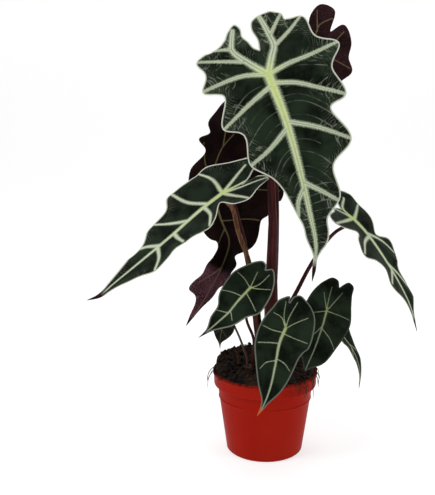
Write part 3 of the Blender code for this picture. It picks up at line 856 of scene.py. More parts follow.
@dataclass
class Pot:
    """The nursery pot: tapered body, moulded ring, wider rim band with a bead, drain holes."""

    height: float
    rim_radius: float
    base_radius: float = 43.5
    wall: float = 1.8
    floor: float = 2.4
    foot_chamfer: float = 2.0
    band_height: float = 17.0
    band_step: float = 4.2
    bead: float = 1.2
    band_slope: float = 2.0
    ridge_below_rim: float = 30.0
    ridge_proud: float = 0.9
    ridge_height: float = 2.4
    sides: int = 160
    fillet: float = 0.7
    drain_holes: int = 6
    drain_radius: float = 4.0
    drain_circle: float = 32.0
    drain_turn: float = 11.0

    @property
    def step(self) -> float:
        """The height of the step under the rim band."""
        return self.height - self.band_height

    def body_radius(self, height: float) -> float:
        """The outer radius of the tapered body at a height."""
        lip = self.rim_radius - self.bead - self.band_step
        return self.base_radius + (lip - self.base_radius) / self.step * height

    def inner_radius(self, height: float) -> float:
        """The inner radius at a height: it steps out with the rim band.

        Args:
            height: The height above the ground.

        Returns:
            The radius.
        """
        if height <= self.step:
            return self.body_radius(height) - self.wall
        share = min(1.0, (height - self.step) / self.band_slope)
        below = self.body_radius(self.step) - self.wall
        return below + share * (self.rim_radius - self.bead - self.wall - below)

    def profile(self) -> np.ndarray:
        """The section from the middle of the foot round the wall to the middle of the floor.

        Returns:
            Radius and height of each point, with every corner rounded.
        """
        ridge = self.height - self.ridge_below_rim
        band = self.rim_radius - self.bead
        corners = [
            (0, 0.9),
            (self.base_radius - 3 * self.foot_chamfer, 0.9),
            (self.base_radius - 2.6 * self.foot_chamfer, 0),
            (self.base_radius - self.foot_chamfer, 0),
            (self.body_radius(self.foot_chamfer), self.foot_chamfer),
            (self.body_radius(ridge - self.ridge_height), ridge - self.ridge_height),
            (self.body_radius(ridge) + self.ridge_proud, ridge - self.ridge_height / 2),
            (self.body_radius(ridge), ridge),
            (self.body_radius(self.step), self.step),
            (band - self.bead / 2, self.step + self.band_slope / 2),
            (band, self.step + self.band_slope),
            (band, self.height - 4 * self.bead),
            (self.rim_radius, self.height - 3 * self.bead),
            (self.rim_radius, self.height),
            (band - self.wall, self.height),
            (self.inner_radius(self.step + self.band_slope), self.step + self.band_slope),
            (self.inner_radius(self.step), self.step),
            (self.inner_radius(self.floor), self.floor),
            (0, self.floor),
        ]
        return self.rounded(np.array(corners, float))

    def rounded(self, corners: np.ndarray) -> np.ndarray:
        """The same section with each corner turned into a short arc.

        Args:
            corners: Radius and height of each corner.

        Returns:
            Radius and height of each point of the softened section.
        """
        rows = [corners[0]]
        for before, here, after in zip(corners, corners[1:], corners[2:]):
            back, on = before - here, after - here
            reach = min(self.fillet, 0.4 * float(np.linalg.norm(back)), 0.4 * float(np.linalg.norm(on)))
            start, end = here + unit(back) * reach, here + unit(on) * reach
            for t in (0.0, 0.33, 0.67, 1.0):
                rows.append((1 - t) ** 2 * start + 2 * t * (1 - t) * here + t**2 * end)
        rows.append(corners[-1])
        return np.array(rows)

    def revolved(
        self, profile: np.ndarray, sides: int, centre: tuple[float, float] = (0, 0)
    ) -> tuple[np.ndarray, list]:
        """A solid of revolution about an upright axis.

        Args:
            profile: Radius and height of each point, from one point on the axis to another.
            sides: How many points go round.
            centre: Where the axis stands.

        Returns:
            The points and the faces.
        """
        turns = np.arange(sides) / sides * 2 * math.pi
        around = np.column_stack([np.cos(turns), np.sin(turns), np.zeros(sides)])
        rings = [around * radius + [*centre, height] for radius, height in profile[1:-1]]
        ends = np.array([[*centre, profile[0][1]], [*centre, profile[-1][1]]])
        points = np.vstack([*rings, ends])
        last = len(points) - 1
        faces = []
        for j in range(sides):
            k = (j + 1) % sides
            faces.append((last - 1, k, j))
            faces.append((last, last - 1 - sides + j, last - 1 - sides + k))
            for i in range(len(rings) - 1):
                faces.append((i * sides + j, i * sides + k, (i + 1) * sides + k, (i + 1) * sides + j))
        return points, faces

    def build(self, finish: PotPlastic) -> bpy.types.Object:
        """Makes the pot, cuts its drain holes and dresses it.

        Args:
            finish: The plastic.

        Returns:
            The finished piece.
        """
        pot = add_mesh("pot_shell", *self.revolved(self.profile(), self.sides), [finish.material()], 50.0)
        low, high = -self.floor, 3 * self.floor
        bore = np.array([(0, low), (self.drain_radius, low), (self.drain_radius, high), (0, high)])
        holes = []
        for i in range(self.drain_holes):
            turn = math.radians(self.drain_turn) + i / self.drain_holes * 2 * math.pi
            centre = (self.drain_circle * math.cos(turn), self.drain_circle * math.sin(turn))
            holes.append(self.revolved(bore, 32, centre))
        cutter = add_mesh("drain_cutters", *merged(holes), [])
        cut = pot.modifiers.new("drain holes", "BOOLEAN")
        cut.operation = "DIFFERENCE"
        cut.object = cutter
        ready = bpy.data.meshes.new_from_object(pot.evaluated_get(bpy.context.evaluated_depsgraph_get()))
        pot.modifiers.clear()
        pot.data = ready
        bpy.data.objects.remove(cutter)
        ready.set_sharp_from_angle(angle=math.radians(50.0))
        return settle(pot, Slot.POT, "pot")


@dataclass
class Soil:
    """The heap of peat and coir in the pot, with its crumbs and its loose fibres."""

    pot: Pot
    below_rim: float = 1.5
    heaped: float = 10.0
    lump: float = 1.1
    shoulder: int = 4
    bank: float = 11.5
    gap: float = 0.3
    grid: float = 1.15
    crumbs: int = 950
    strands: int = 260
    knots: int = 10
    hanging: tuple[tuple[float, float, float], ...] = (
        (178, 32, 13),
        (191, 30, 22),
        (211, 9, 9),
        (303, 9, 12),
        (312, 12, 17),
        (318, 9, 14),
        (325, 14, 20),
        (331, 9, 9),
        (338, 12, 13),
        (352, 9, 10),
        (8, 8, 12),
        (120, 7, 9),
    )

    @property
    def top(self) -> float:
        """The height where the soil meets the pot."""
        return self.pot.height - self.below_rim

    def heap(self, x: np.ndarray, y: np.ndarray) -> np.ndarray:
        """The height of the soil surface at some places in the pot.

        Args:
            x: How far to the right each place is.
            y: How far back each place is.

        Returns:
            The heights.
        """
        reach = np.hypot(x, y) / self.pot.inner_radius(self.top)
        lumps = np.sin(x * 0.21 + 1.3) * np.cos(y * 0.17 - 0.4) + 0.6 * np.sin(x * 0.37 - y * 0.29)
        behind = np.clip((y / self.pot.rim_radius + 0.35) * 2, 0, 1)
        bank = self.bank * behind * np.clip((reach - 0.6) * 3, 0, 1)
        mound = (self.heaped + self.lump * lumps) * (1 - np.minimum(reach, 1) ** self.shoulder)
        return self.top + mound + bank

    def surface(self, plan: np.ndarray) -> np.ndarray:
        """Points on the crumbly surface above some flat points.

        Args:
            plan: The flat points.

        Returns:
            The points in space.
        """
        smooth = np.column_stack([plan, self.heap(plan[:, 0], plan[:, 1])])
        cells = np.array([noise.cell_vector(Vector(p) / 2.6)[0] for p in smooth])
        rough = 1.5 * roughness_at(smooth, 7.0, 4) + 0.5 * roughness_at(smooth, 2.2, 2, 4.0)
        rough = rough + 0.5 * (cells - 0.5)
        reach = np.hypot(plan[:, 0], plan[:, 1]) / self.pot.inner_radius(self.top)
        smooth[:, 2] += rough * np.clip((1.02 - reach) * 12, 0.15, 1)
        return smooth

    def ground(self, finish: bpy.types.Material) -> bpy.types.Object:
        """The heap as one closed solid that follows the inside of the pot.

        Args:
            finish: The material.

        Returns:
            The finished piece.
        """
        rim = self.pot.inner_radius(self.top) - 2 * self.gap
        count = 240
        turns = np.arange(count) / count * 2 * math.pi
        around = np.column_stack([np.cos(turns), np.sin(turns)])
        grid = hexagonal(np.array([-rim, -rim]), np.array([rim, rim]), self.grid)
        grid = grid[np.hypot(grid[:, 0], grid[:, 1]) < rim - 0.6 * self.grid]
        plan = np.vstack([around * rim, grid])
        found = delaunay_2d_cdt([tuple(p) for p in plan], [], [list(range(count))], 1, 1e-6)
        plan = np.array([tuple(p) for p in found[0]])
        faces = [tuple(face) for face in found[2]]
        points = [self.surface(plan)]
        above = [start for start, _ in border_of(faces)]
        above.sort(key=lambda v: math.atan2(plan[v][1], plan[v][0]))
        direction = unit(plan[above])
        band = self.pot.step + self.pot.band_slope + self.gap
        for height in (self.top - 4, band, self.pot.step, self.pot.floor + self.gap):
            radius = self.pot.inner_radius(height - self.gap) - 2 * self.gap
            below = list(range(sum(map(len, points)), sum(map(len, points)) + len(above)))
            points.append(np.column_stack([direction * radius, np.full(len(above), height)]))
            for i in range(len(above)):
                faces.append((above[i - 1], below[i - 1], below[i], above[i]))
            above = below
        faces.append(tuple(above[::-1]))
        heap = add_mesh("peat_heap", np.vstack(points), faces, [finish], SMOOTH)
        return settle(heap, Slot.SOIL, "potting_soil")

    def loose(self, finish: bpy.types.Material) -> bpy.types.Object:
        """Crumbs that lie on the heap, some of them against the rim.

        Args:
            finish: The material.

        Returns:
            The finished piece.
        """
        rng = np.random.default_rng(11)
        ball = bmesh.new()
        bmesh.ops.create_icosphere(ball, subdivisions=2, radius=1.0)
        shape = np.array([v.co[:] for v in ball.verts])
        corners = [tuple(v.index for v in face.verts) for face in ball.faces]
        ball.free()
        rim = self.pot.inner_radius(self.top) - 1.5
        parts = []
        for i in range(self.crumbs):
            size = 0.7 + 1.9 * rng.random() ** 3
            turn, reach = rng.random() * 2 * math.pi, rim * math.sqrt(rng.random())
            reach = min(reach, rim - size)
            plan = np.array([[reach * math.cos(turn), reach * math.sin(turn)]])
            centre = self.surface(plan)[0] + [0, 0, 0.25 * size]
            knobs = 1 + 0.35 * roughness_at(shape, 0.9, 2, i * 3.7)
            turned = np.linalg.qr(rng.normal(size=(3, 3)))[0]
            parts.append(((shape * knobs[:, None] * [1.25, 0.95, 0.75]) @ turned * size + centre, corners))
        return settle(add_mesh("peat_crumbs", *merged(parts), [finish], SMOOTH), Slot.SOIL)

    def strand(self, line: np.ndarray, radius: float) -> tuple[np.ndarray, list]:
        """One fibre along a line, thinner at both ends."""
        share = np.linspace(-1, 1, len(line))
        return swept(line, radius * (1 - 0.6 * share**2), 6)

    def fibres(self, finish: bpy.types.Material) -> bpy.types.Object:
        """Coir fibres that lie on the heap, stick out of it and hang over the rim.

        Args:
            finish: The material.

        Returns:
            The finished piece.
        """
        rng = np.random.default_rng(29)
        parts = []
        rim = self.pot.inner_radius(self.top) - 2
        for i in range(self.strands):
            turn, reach = rng.random() * 2 * math.pi, rim * math.sqrt(rng.random())
            heading, bend = rng.random() * 2 * math.pi, rng.normal() * 0.09
            length = 5 + 13 * rng.random()
            here = np.array([reach * math.cos(turn), reach * math.sin(turn)])
            plan = []
            for _ in range(self.knots):
                plan.append(here)
                here = here + length / (self.knots - 1) * np.array([math.cos(heading), math.sin(heading)])
                heading += bend * length / (self.knots - 1)
            plan = np.array(plan)
            far = np.hypot(plan[:, 0], plan[:, 1])
            plan *= np.minimum(1, rim / np.maximum(far, 1))[:, None]
            plan += np.linspace(0, 0.4, self.knots)[:, None]
            line = np.column_stack([plan, self.heap(plan[:, 0], plan[:, 1]) + 0.9])
            line[:, 2] += np.linspace(0, 1, self.knots) ** 2 * rng.random() ** 2 * 5 + rng.random() * 0.6
            parts.append(self.strand(line, 0.16 + 0.16 * rng.random()))
        lip = self.pot.rim_radius
        for turn, out, drop in self.hanging:
            for j in range(2):
                angle = math.radians(turn + 3.2 * j + 2.5 * rng.normal())
                ray = np.array([math.cos(angle), math.sin(angle), 0.0])
                side = np.array([-ray[1], ray[0], 0.0]) * rng.normal() * 2.5
                fall = drop * (0.45 + 0.7 * rng.random())
                reach = lip + 0.8 + 0.24 * out * rng.uniform(0.6, 1)
                knots = [
                    ray * (lip - 9) + [0, 0, self.top + 2.0],
                    ray * (lip - 1) + [0, 0, self.pot.height + 0.9],
                    ray * (lip + 1.0 + 0.12 * out) + side * 0.4 + [0, 0, self.pot.height - 0.35 * fall],
                    ray * reach + side + [0, 0, self.pot.height - fall],
                ]
                parts.append(self.strand(curve(knots, 2.0), 0.30 + 0.20 * rng.random()))
        return settle(add_mesh("coir_fibres", *merged(parts), [finish], SMOOTH), Slot.SOIL)

    def build(self) -> None:
        """Makes and dresses the heap, its crumbs and its fibres."""
        peat = Crumble("peat", (0.0040, 0.0022, 0.0014), (0.0260, 0.0135, 0.0078), 420.0, 0.6)
        coir = Crumble("coir", (0.0140, 0.0065, 0.0040), (0.0850, 0.0380, 0.0190), 700.0, 0.1)
        ground = peat.material()
        self.ground(ground)
        self.loose(ground)
        self.fibres(coir.material())


@dataclass
class Corm:
    """One corm, mostly buried, with rings of old leaf scars round its crown."""

    name: str
    x: float
    y: float
    radius: float
    depth: float
    soil: Soil
    proud: float = 1.5
    sides: int = 64

    @property
    def crown(self) -> float:
        """The height of the crown, just above the soil."""
        return float(self.soil.heap(self.x, self.y)) + self.proud

    def build(self, finish: bpy.types.Material) -> bpy.types.Object:
        """Makes and dresses the corm.

        Args:
            finish: The material.

        Returns:
            The finished piece.
        """
        corners = [
            (0, self.crown - self.depth),
            (0.55 * self.radius, self.crown - 0.95 * self.depth),
            (0.92 * self.radius, self.crown - 0.60 * self.depth),
            (self.radius, self.crown - 0.25 * self.depth),
            (0.93 * self.radius, self.crown - 0.6),
            (0.5 * self.radius, self.crown + 0.6),
            (0, self.crown + 0.9),
        ]
        section = curve(corners, 0.8)
        section[:, 0] = np.maximum(section[:, 0], 0)
        points, faces = self.soil.pot.revolved(section, self.sides, (self.x, self.y))
        rough = 0.7 * roughness_at(points, 5.0, 4, self.x) + 0.3 * np.sin(points[:, 2] * 2.6)
        outward = points - [self.x, self.y, self.crown - 0.5 * self.depth]
        points = points + unit(outward) * rough[:, None]
        return settle(add_mesh(f"{self.name}_skin", points, faces, [finish], SMOOTH), Slot.CORM, self.name)


# ---------------------------------------------------------------- leaves


@dataclass(frozen=True)
class Leaf:
    """The design of one leaf: its blade, its drawing of veins and its petiole."""

    name: str
    rib: Path
    face: Path
    notch: tuple[float, float]
    right: Path
    left: Path
    corm: str
    petiole: Path
    radii: tuple[float, float]
    widths: tuple[float, float]
    right_veins: tuple[Path, ...]
    left_veins: tuple[Path, ...]
    basal_veins: tuple[Path, ...]
    fold: float = 0.0
    back: float = 0.0
    basal: float = 1.0
    puff: float = 1.0
    wave: float = 1.2
    step: float = 1.3
    large: float = 0.0
    drip: float = 14.0
    # How strongly light is painted on the lower face, and from which share of the midrib towards the tip.
    painted_light: float = 0.08
    painted_light_from: float = -1.0
    ribbed: float = 0.0
    clear: float = 1.0
    tinge: float = 0.0
    dry: float = 0.0
    blade_slot: Slot = Slot.GREEN_BLADE
    stem_slot: Slot = Slot.MAROON_STEM


@dataclass
class Blade:
    """The finished blade of one leaf, between its upper and its lower skin."""

    leaf: Leaf
    softness: float = 5.0
    thickness: float = 0.9
    edge: float = 0.45
    young_reach: float = 24.0
    rib_points: int = 120
    thread_points: int = 40
    thread_gap: float = 12.0
    shortest: int = 4
    rounding: float = 2.6
    kept: float = 14.0
    quilt_reach: float = 9.0
    crease_reach: float = 2.2
    wave_reach: float = 11.0
    still_reach: float = 25.0
    cad_thickness: float = 1.4
    cad_keel: float = 2.2
    line: np.ndarray = field(init=False)
    station: np.ndarray = field(init=False)
    tangent: np.ndarray = field(init=False)
    up: np.ndarray = field(init=False)
    length: float = field(init=False)
    behind: float = field(init=False)

    def __post_init__(self) -> None:
        """Works out the midrib's line in space, and what the other methods read of it."""
        self.line = curve(self.leaf.rib, 2.0)
        self.station = arc_length(self.line)
        self.length = float(self.station[-1])
        self.tangent = unit(np.gradient(self.line, axis=0))
        self.up = unit(np.asarray(self.leaf.face, float))
        self.behind = -min(y for _, y in self.leaf.right + self.leaf.left)

    def along(self, values: np.ndarray, y: np.ndarray) -> np.ndarray:
        """A row of vectors along the midrib, read at each y."""
        return np.column_stack([np.interp(y, self.station, values[:, k]) for k in range(3)])

    def frames(self, y: np.ndarray) -> tuple[np.ndarray, np.ndarray, np.ndarray]:
        """The blade's cross lines.

        Args:
            y: Distances down the midrib, negative behind the petiole.

        Returns:
            The origin, the upper normal and the direction to the right at each y.
        """
        on_rib = np.clip(y, 0, self.length)
        origin = self.along(self.line, on_rib)
        ahead = unit(self.along(self.tangent, on_rib))
        share = (on_rib / self.length)[:, None]
        up = self.up[0] * (1 - share) + self.up[1] * share
        up = unit(up - (up * ahead).sum(axis=1, keepdims=True) * ahead)
        past = np.clip(-y, 0, None)[:, None]
        turn = math.radians(self.leaf.back) * past / self.behind
        origin = origin - past * (np.cos(turn / 2) * ahead + np.sin(turn / 2) * up)
        return origin, np.cos(turn) * up - np.sin(turn) * ahead, np.cross(up, ahead)

    def place(self, flat: np.ndarray, lift: np.ndarray) -> np.ndarray:
        """The flat points in space.

        Args:
            flat: The flat points.
            lift: How far each one stands off, along the upper normal.

        Returns:
            The points in space.
        """
        origin, normal, across = self.frames(flat[:, 1])
        fold = math.radians(self.leaf.fold)
        rise = math.sin(fold) * (np.hypot(flat[:, :1], self.softness) - self.softness)
        height = rise + np.reshape(lift, (-1, 1))
        return origin + math.cos(fold) * flat[:, :1] * across + height * normal

    def outline(self) -> np.ndarray:
        """The margin as one closed line.

        Returns:
            The flat points, from the notch down the right side and up the left one.
        """
        sides = []
        for side, sign in ((self.leaf.right, 1), (self.leaf.left, -1)):
            flat = [self.leaf.notch] + [(sign * x, y) for x, y in side] + [(0, self.length)]
            sides.append(curve(flat, 0.9 * self.leaf.step))
        return self.rounded(np.vstack([sides[0], sides[1][-2:0:-1]]), len(sides[0]) - 1)

    def rounded(self, line: np.ndarray, tip: int) -> np.ndarray:
        """The margin with its lobes rounded off and let out a little, apart from its notch and tip.

        Args:
            line: The margin, one flat point per row, that starts at the notch.
            tip: The row of the drip tip.

        Returns:
            The margin with the same number of points.
        """
        soft, total = np.zeros_like(line), 0.0
        reach = self.rounding * (0.5 + 0.5 * self.leaf.large) / self.leaf.step
        for shift in range(-6, 7):
            weight = math.exp(-0.5 * (shift / reach) ** 2)
            soft += weight * np.roll(line, shift, axis=0)
            total += weight
        ahead = unit(np.roll(line, -1, axis=0) - np.roll(line, 1, axis=0))
        outward = np.column_stack([ahead[:, 1], -ahead[:, 0]])
        kept = np.minimum(*(np.linalg.norm(line - line[i], axis=1) for i in (0, tip)))
        free = np.clip(kept / self.kept, 0, 1)[:, None]
        return line + free * (soft / total + 0.4 * reach * self.leaf.step * outward - line)

    def main_veins(self) -> list[tuple[np.ndarray, np.ndarray]]:
        """The midrib and the strong veins.

        Returns:
            The line of each vein and its half-width at each point.
        """
        middle, side = self.leaf.widths
        rib = np.column_stack([np.zeros(self.rib_points), np.linspace(0, self.length, self.rib_points)])
        share = np.linspace(0, 1, self.rib_points)
        veins = [(rib, middle * (1 - share) ** 0.55 * (1 - 0.3 * share) + 0.15)]
        for points in (*self.leaf.right_veins, *self.leaf.left_veins, *self.leaf.basal_veins):
            line = curve(points, self.leaf.step)
            wide = side if points[0][1] >= 0 else 0.8 * side
            if points in self.leaf.basal_veins and points[0] == (0, 0):
                wide = self.leaf.basal * side
            veins.append((line, wide * (1.12 - 0.5 * np.linspace(0, 1, len(line)))))
        return veins

    def fine_veins(self) -> list[np.ndarray]:
        """The thin veins of a large blade.

        Returns:
            Faint lines between the laterals, arcs across the blade's end, and strokes off every vein.
        """
        if self.leaf.large < 1:
            return []
        rng = np.random.default_rng(len(self.leaf.name))
        way = np.linspace(0, 1, self.thread_points)
        sag = way**2 - 0.6 * np.sin(np.linspace(0, math.pi, self.thread_points))
        lines = []
        for sign, veins in ((1, self.leaf.right_veins), (-1, self.leaf.left_veins)):
            strong = [resample(curve(points, 2.0), self.thread_points) for points in veins]
            for first, second in zip(strong, strong[1:]):
                count = round(float(second[0][1] - first[0][1]) / self.thread_gap)
                for share in (np.arange(count) + 0.5 + 0.15 * rng.normal(size=count)) / max(count, 1):
                    line = (1 - share) * first + share * second
                    line[:, 1] += self.thread_gap * sag
                    lines.append(line[: rng.integers(20, 34)])
            for root in np.arange(strong[-1][0][1] + 8, self.length - 22, 0.7 * self.thread_gap):
                wide = 0.5 * (self.length - root)
                knots = ((0, root), (0.5 * sign * wide, root - 1), (sign * wide, root + 0.3 * wide))
                lines.append(curve(knots, 2.0))
        for points in (*self.leaf.right_veins, *self.leaf.left_veins, *self.leaf.basal_veins):
            line = curve(points, 1.0)
            ahead = unit(np.gradient(line, axis=0))
            for i in range(len(line) // 2, len(line) - 3, 3):
                for side in rng.permutation((-1, 1))[: rng.integers(0, 3)]:
                    across = side * np.array([-ahead[i][1], ahead[i][0]])
                    long = self.thread_gap * rng.uniform(0.4, 1.1)
                    bend = line[i] + 0.5 * long * (across + 0.1 * ahead[i])
                    end = line[i] + long * (0.9 * across + 0.4 * ahead[i])
                    lines.append(curve((line[i], bend, end), 1.0))
        return [line for line in lines if len(line) > self.shortest]

    def flat_mesh(self, outline: np.ndarray, veins: list, threads: list) -> tuple[np.ndarray, list]:
        """The blade's flat mesh, with edges along the margin and the veins.

        Args:
            outline: The margin.
            veins: The strong veins from main_veins.
            threads: The thin veins from fine_veins.

        Returns:
            The flat points and the triangles.
        """
        step = self.leaf.step
        grid = hexagonal(outline.min(axis=0), outline.max(axis=0), step)
        grid = grid[within(grid, outline)]
        closed = np.vstack([outline, outline[:1]])
        grid = grid[nearest_on(grid, closed)[0] > 0.55 * step]
        points, lines = [outline], []
        count = len(outline)
        drawn = None
        for line in [line for line, _ in veins] + threads:
            line = resample(line, max(2, round(arc_length(line)[-1] / step)))
            apart = 1.5 * arc_length(line)[-1] / (len(line) - 1)
            line = line[within(line, outline)]
            line = line[nearest_on(line, closed)[0] > 0.8 * step]
            if drawn is not None:
                line = line[np.linalg.norm(line[:, None] - drawn[None], axis=2).min(axis=1) > 0.4 * step]
            if len(line) < 2:
                continue
            grid = grid[nearest_on(grid, line)[0] > 0.5 * step]
            drawn = line if drawn is None else np.vstack([drawn, line])
            points.append(line)
            gaps = np.linalg.norm(np.diff(line, axis=0), axis=1)
            lines += [(count + int(i), count + int(i) + 1) for i in np.flatnonzero(gaps < apart)]
            count += len(line)
        flat = np.vstack([*points, grid])
        edge = list(range(len(outline)))
        found = delaunay_2d_cdt([tuple(p) for p in flat], lines, [edge], 1, 1e-5)
        return np.array([tuple(p) for p in found[0]]), [tuple(face) for face in found[2]]

    def measure(
        self, flat: np.ndarray, veins: list, threads: list, outline: np.ndarray
    ) -> dict[str, np.ndarray]:
        """What the materials and the relief need to know at each flat point.

        Args:
            flat: The flat points.
            veins: The strong veins from main_veins.
            threads: The thin veins from fine_veins.
            outline: The margin.

        Returns:
            Distances in millimetres and masks from 0 to 1, by name.
        """
        past = np.full(len(flat), FAR)
        second = past.copy()
        keys = ("away", "half", "along", "young")
        made = {key: np.zeros(len(flat)) for key in keys}
        from_joint = np.hypot(flat[:, 0], flat[:, 1])
        for number, (line, half) in enumerate(veins):
            away, run = nearest_on(flat, line)
            wide = np.interp(run, arc_length(line), half)
            young = np.clip(1 - from_joint / self.young_reach, 0, 1)
            if number == 0:
                yellow = (1.0, 0.85, 0.45, 0.1) if self.leaf.large == 1 else (1.0, 0.6, 0.15, 0.0)
                young = np.interp(run / self.length, (0.0, 0.15, 0.5, 0.9), yellow)
            better = away - wide < past
            second = np.where(better, past, np.minimum(second, away - wide))
            past = np.where(better, away - wide, past)
            for key, value in zip(keys, (away, wide, run + 7.0 * number, young)):
                made[key] = np.where(better, value, made[key])
        made["thread"] = np.full(len(flat), 9.0)
        for line in threads:
            made["thread"] = np.minimum(made["thread"], nearest_on(flat, line)[0])
        made["along"] = np.where(second - past > 1.2, made["along"], 0.0)
        made["margin"] = nearest_on(flat, np.vstack([outline, outline[:1]]))[0]
        made["drip"] = np.clip(3 - 3 * (self.length - flat[:, 1]) / self.leaf.drip, 0, 1)
        for key in ("large", "clear", "tinge", "dry"):
            made[key] = np.full(len(flat), getattr(self.leaf, key))
        # Painted light on the lower face, from the given share of the midrib down to the tip.
        made["painted_light"] = self.leaf.painted_light * np.clip((flat[:, 1] / self.length - self.leaf.painted_light_from) / 0.05, 0, 1)
        made["young"] = np.maximum(made["young"], self.leaf.ribbed)
        made["reach"] = 0.5 + 0.55 * made["half"]
        return made

    def relief(self, flat: np.ndarray, at: dict[str, np.ndarray]) -> np.ndarray:
        """How far the middle of the blade stands off its plain surface, quilted between the veins.

        Args:
            flat: The flat points.
            at: What measure found at each point.

        Returns:
            One height for each point.
        """
        leaf = self.leaf
        past = np.clip(at["away"] - at["half"], 0, None)
        quilt = leaf.puff * (1 - np.exp(-((past / self.quilt_reach) ** 2)))
        crease = np.exp(-((at["thread"] / self.crease_reach) ** 2))
        quilt -= 0.16 * leaf.puff * crease * np.clip(past / 4.0, 0, 1)
        ends = 1 - 2 * np.exp(-((at["away"] / self.wave_reach) ** 2))
        wave = leaf.wave * np.exp(-at["margin"] / self.wave_reach) * ends
        still = np.clip((self.length - flat[:, 1]) / self.still_reach, 0, 1)
        return (quilt + wave) * still

    def build(self, upper: bpy.types.Material, lower: bpy.types.Material) -> bpy.types.Object:
        """Makes and dresses the blade.

        Args:
            upper: The material of the upper face and the margin.
            lower: The material of the lower face.

        Returns:
            The finished piece.
        """
        outline, veins, threads = self.outline(), self.main_veins(), self.fine_veins()
        flat, triangles = self.flat_mesh(outline, veins, threads)
        at = self.measure(flat, veins, threads, outline)
        border = border_of(triangles)
        half = self.edge / 2 + (self.thickness - self.edge) / 2 * np.clip(at["margin"] / 3.0, 0, 1)
        across = np.clip(at["away"] / np.maximum(0.75 * at["half"], 0.3), 0, 1)
        keel = (0.25 + 0.42 * at["half"]) * (1 - across**2) * np.clip(at["margin"] / 6.0, 0, 1)
        groove = 0.10 * at["half"] * (1 - np.clip(at["away"] / np.maximum(at["half"], 0.3), 0, 1) ** 2)
        middle = self.relief(flat, at)
        top, bottom = middle + half + groove, middle - half - keel
        points = np.vstack([self.place(flat, top), self.place(flat, bottom)])
        count = len(flat)
        faces = triangles + [(c + count, b + count, a + count) for a, b, c in triangles]
        for a, b in border:
            faces.append((b, a, a + count, b + count))
        piece = add_mesh(f"leaf_{self.leaf.name}", points, faces, [upper, lower], SMOOTH)
        beneath = np.zeros(len(piece.data.polygons), np.int32)
        beneath[len(triangles) : 2 * len(triangles)] = 1
        piece.data.polygons.foreach_set("material_index", beneath)
        for name, values in at.items():
            add_values(piece, name, np.concatenate([values, values]))
        return settle(piece, self.leaf.blade_slot, f"blade_{self.leaf.name}")


@dataclass
class Petiole:
    """The stem of one leaf, from its corm's crown into the lower face of its blade."""

    leaf: Leaf
    blade: Blade
    corm: Corm
    seat: float = 7.0
    stand: float = 6.0
    taper: float = 1.4
    gap: float = 0.5
    spacing: float = 2.5
    sides: int = 28

    def path(self) -> np.ndarray:
        """The centre line, which meets the blade from below.

        Returns:
            The points of the line.
        """
        origin, up, _ = self.blade.frames(np.zeros(1))
        under = self.blade.cad_thickness / 2 + self.blade.cad_keel + self.gap
        top = origin[0] - under * up[0]
        x, y = self.leaf.petiole[0]
        foot = [(x, y, self.corm.crown + 0.3), (x, y, self.corm.crown + self.stand)]
        seat = [top - self.seat * up[0], top]
        return curve([*foot, *self.leaf.petiole[1:], *seat, origin[0] - 0.3 * up[0]], self.spacing)

    def radii(self, path: np.ndarray) -> np.ndarray:
        """The radius along the path: wide at the foot, and flared a little where the blade begins.

        Args:
            path: The centre line.

        Returns:
            The radius at each point.
        """
        foot, blade = self.leaf.radii
        run = arc_length(path)
        left = run[-1] - run
        flare = 1 + 0.15 * np.exp(-left / 2.5)
        swell = 1 + 0.12 * np.exp(-run / 6.0)
        return (blade + (foot - blade) * (1 - run / run[-1]) ** self.taper) * flare * swell

    def build(self, finish: bpy.types.Material) -> bpy.types.Object:
        """Makes and dresses the petiole.

        Args:
            finish: The material.

        Returns:
            The finished piece.
        """
        path = self.path()
        path[0][2] -= 1.5
        turns = np.arange(self.sides) / self.sides * 2 * math.pi
        ribs = 1 + 0.025 * np.sin(5 * turns)[None] + 0.012 * np.sin(11 * turns + 1)[None]
        wobble = 1 + 0.02 * roughness_at(path, 18.0, 2, path[0][0])[:, None]
        points, faces = swept(path, self.radii(path)[:, None] * ribs * wobble, self.sides)
        piece = add_mesh(f"stem_{self.leaf.name}", points, faces, [finish], 60.0)
        run = arc_length(path)
        add_values(piece, "rise", np.repeat(run / run[-1], self.sides))
        return settle(piece, self.leaf.stem_slot, f"petiole_{self.leaf.name}")


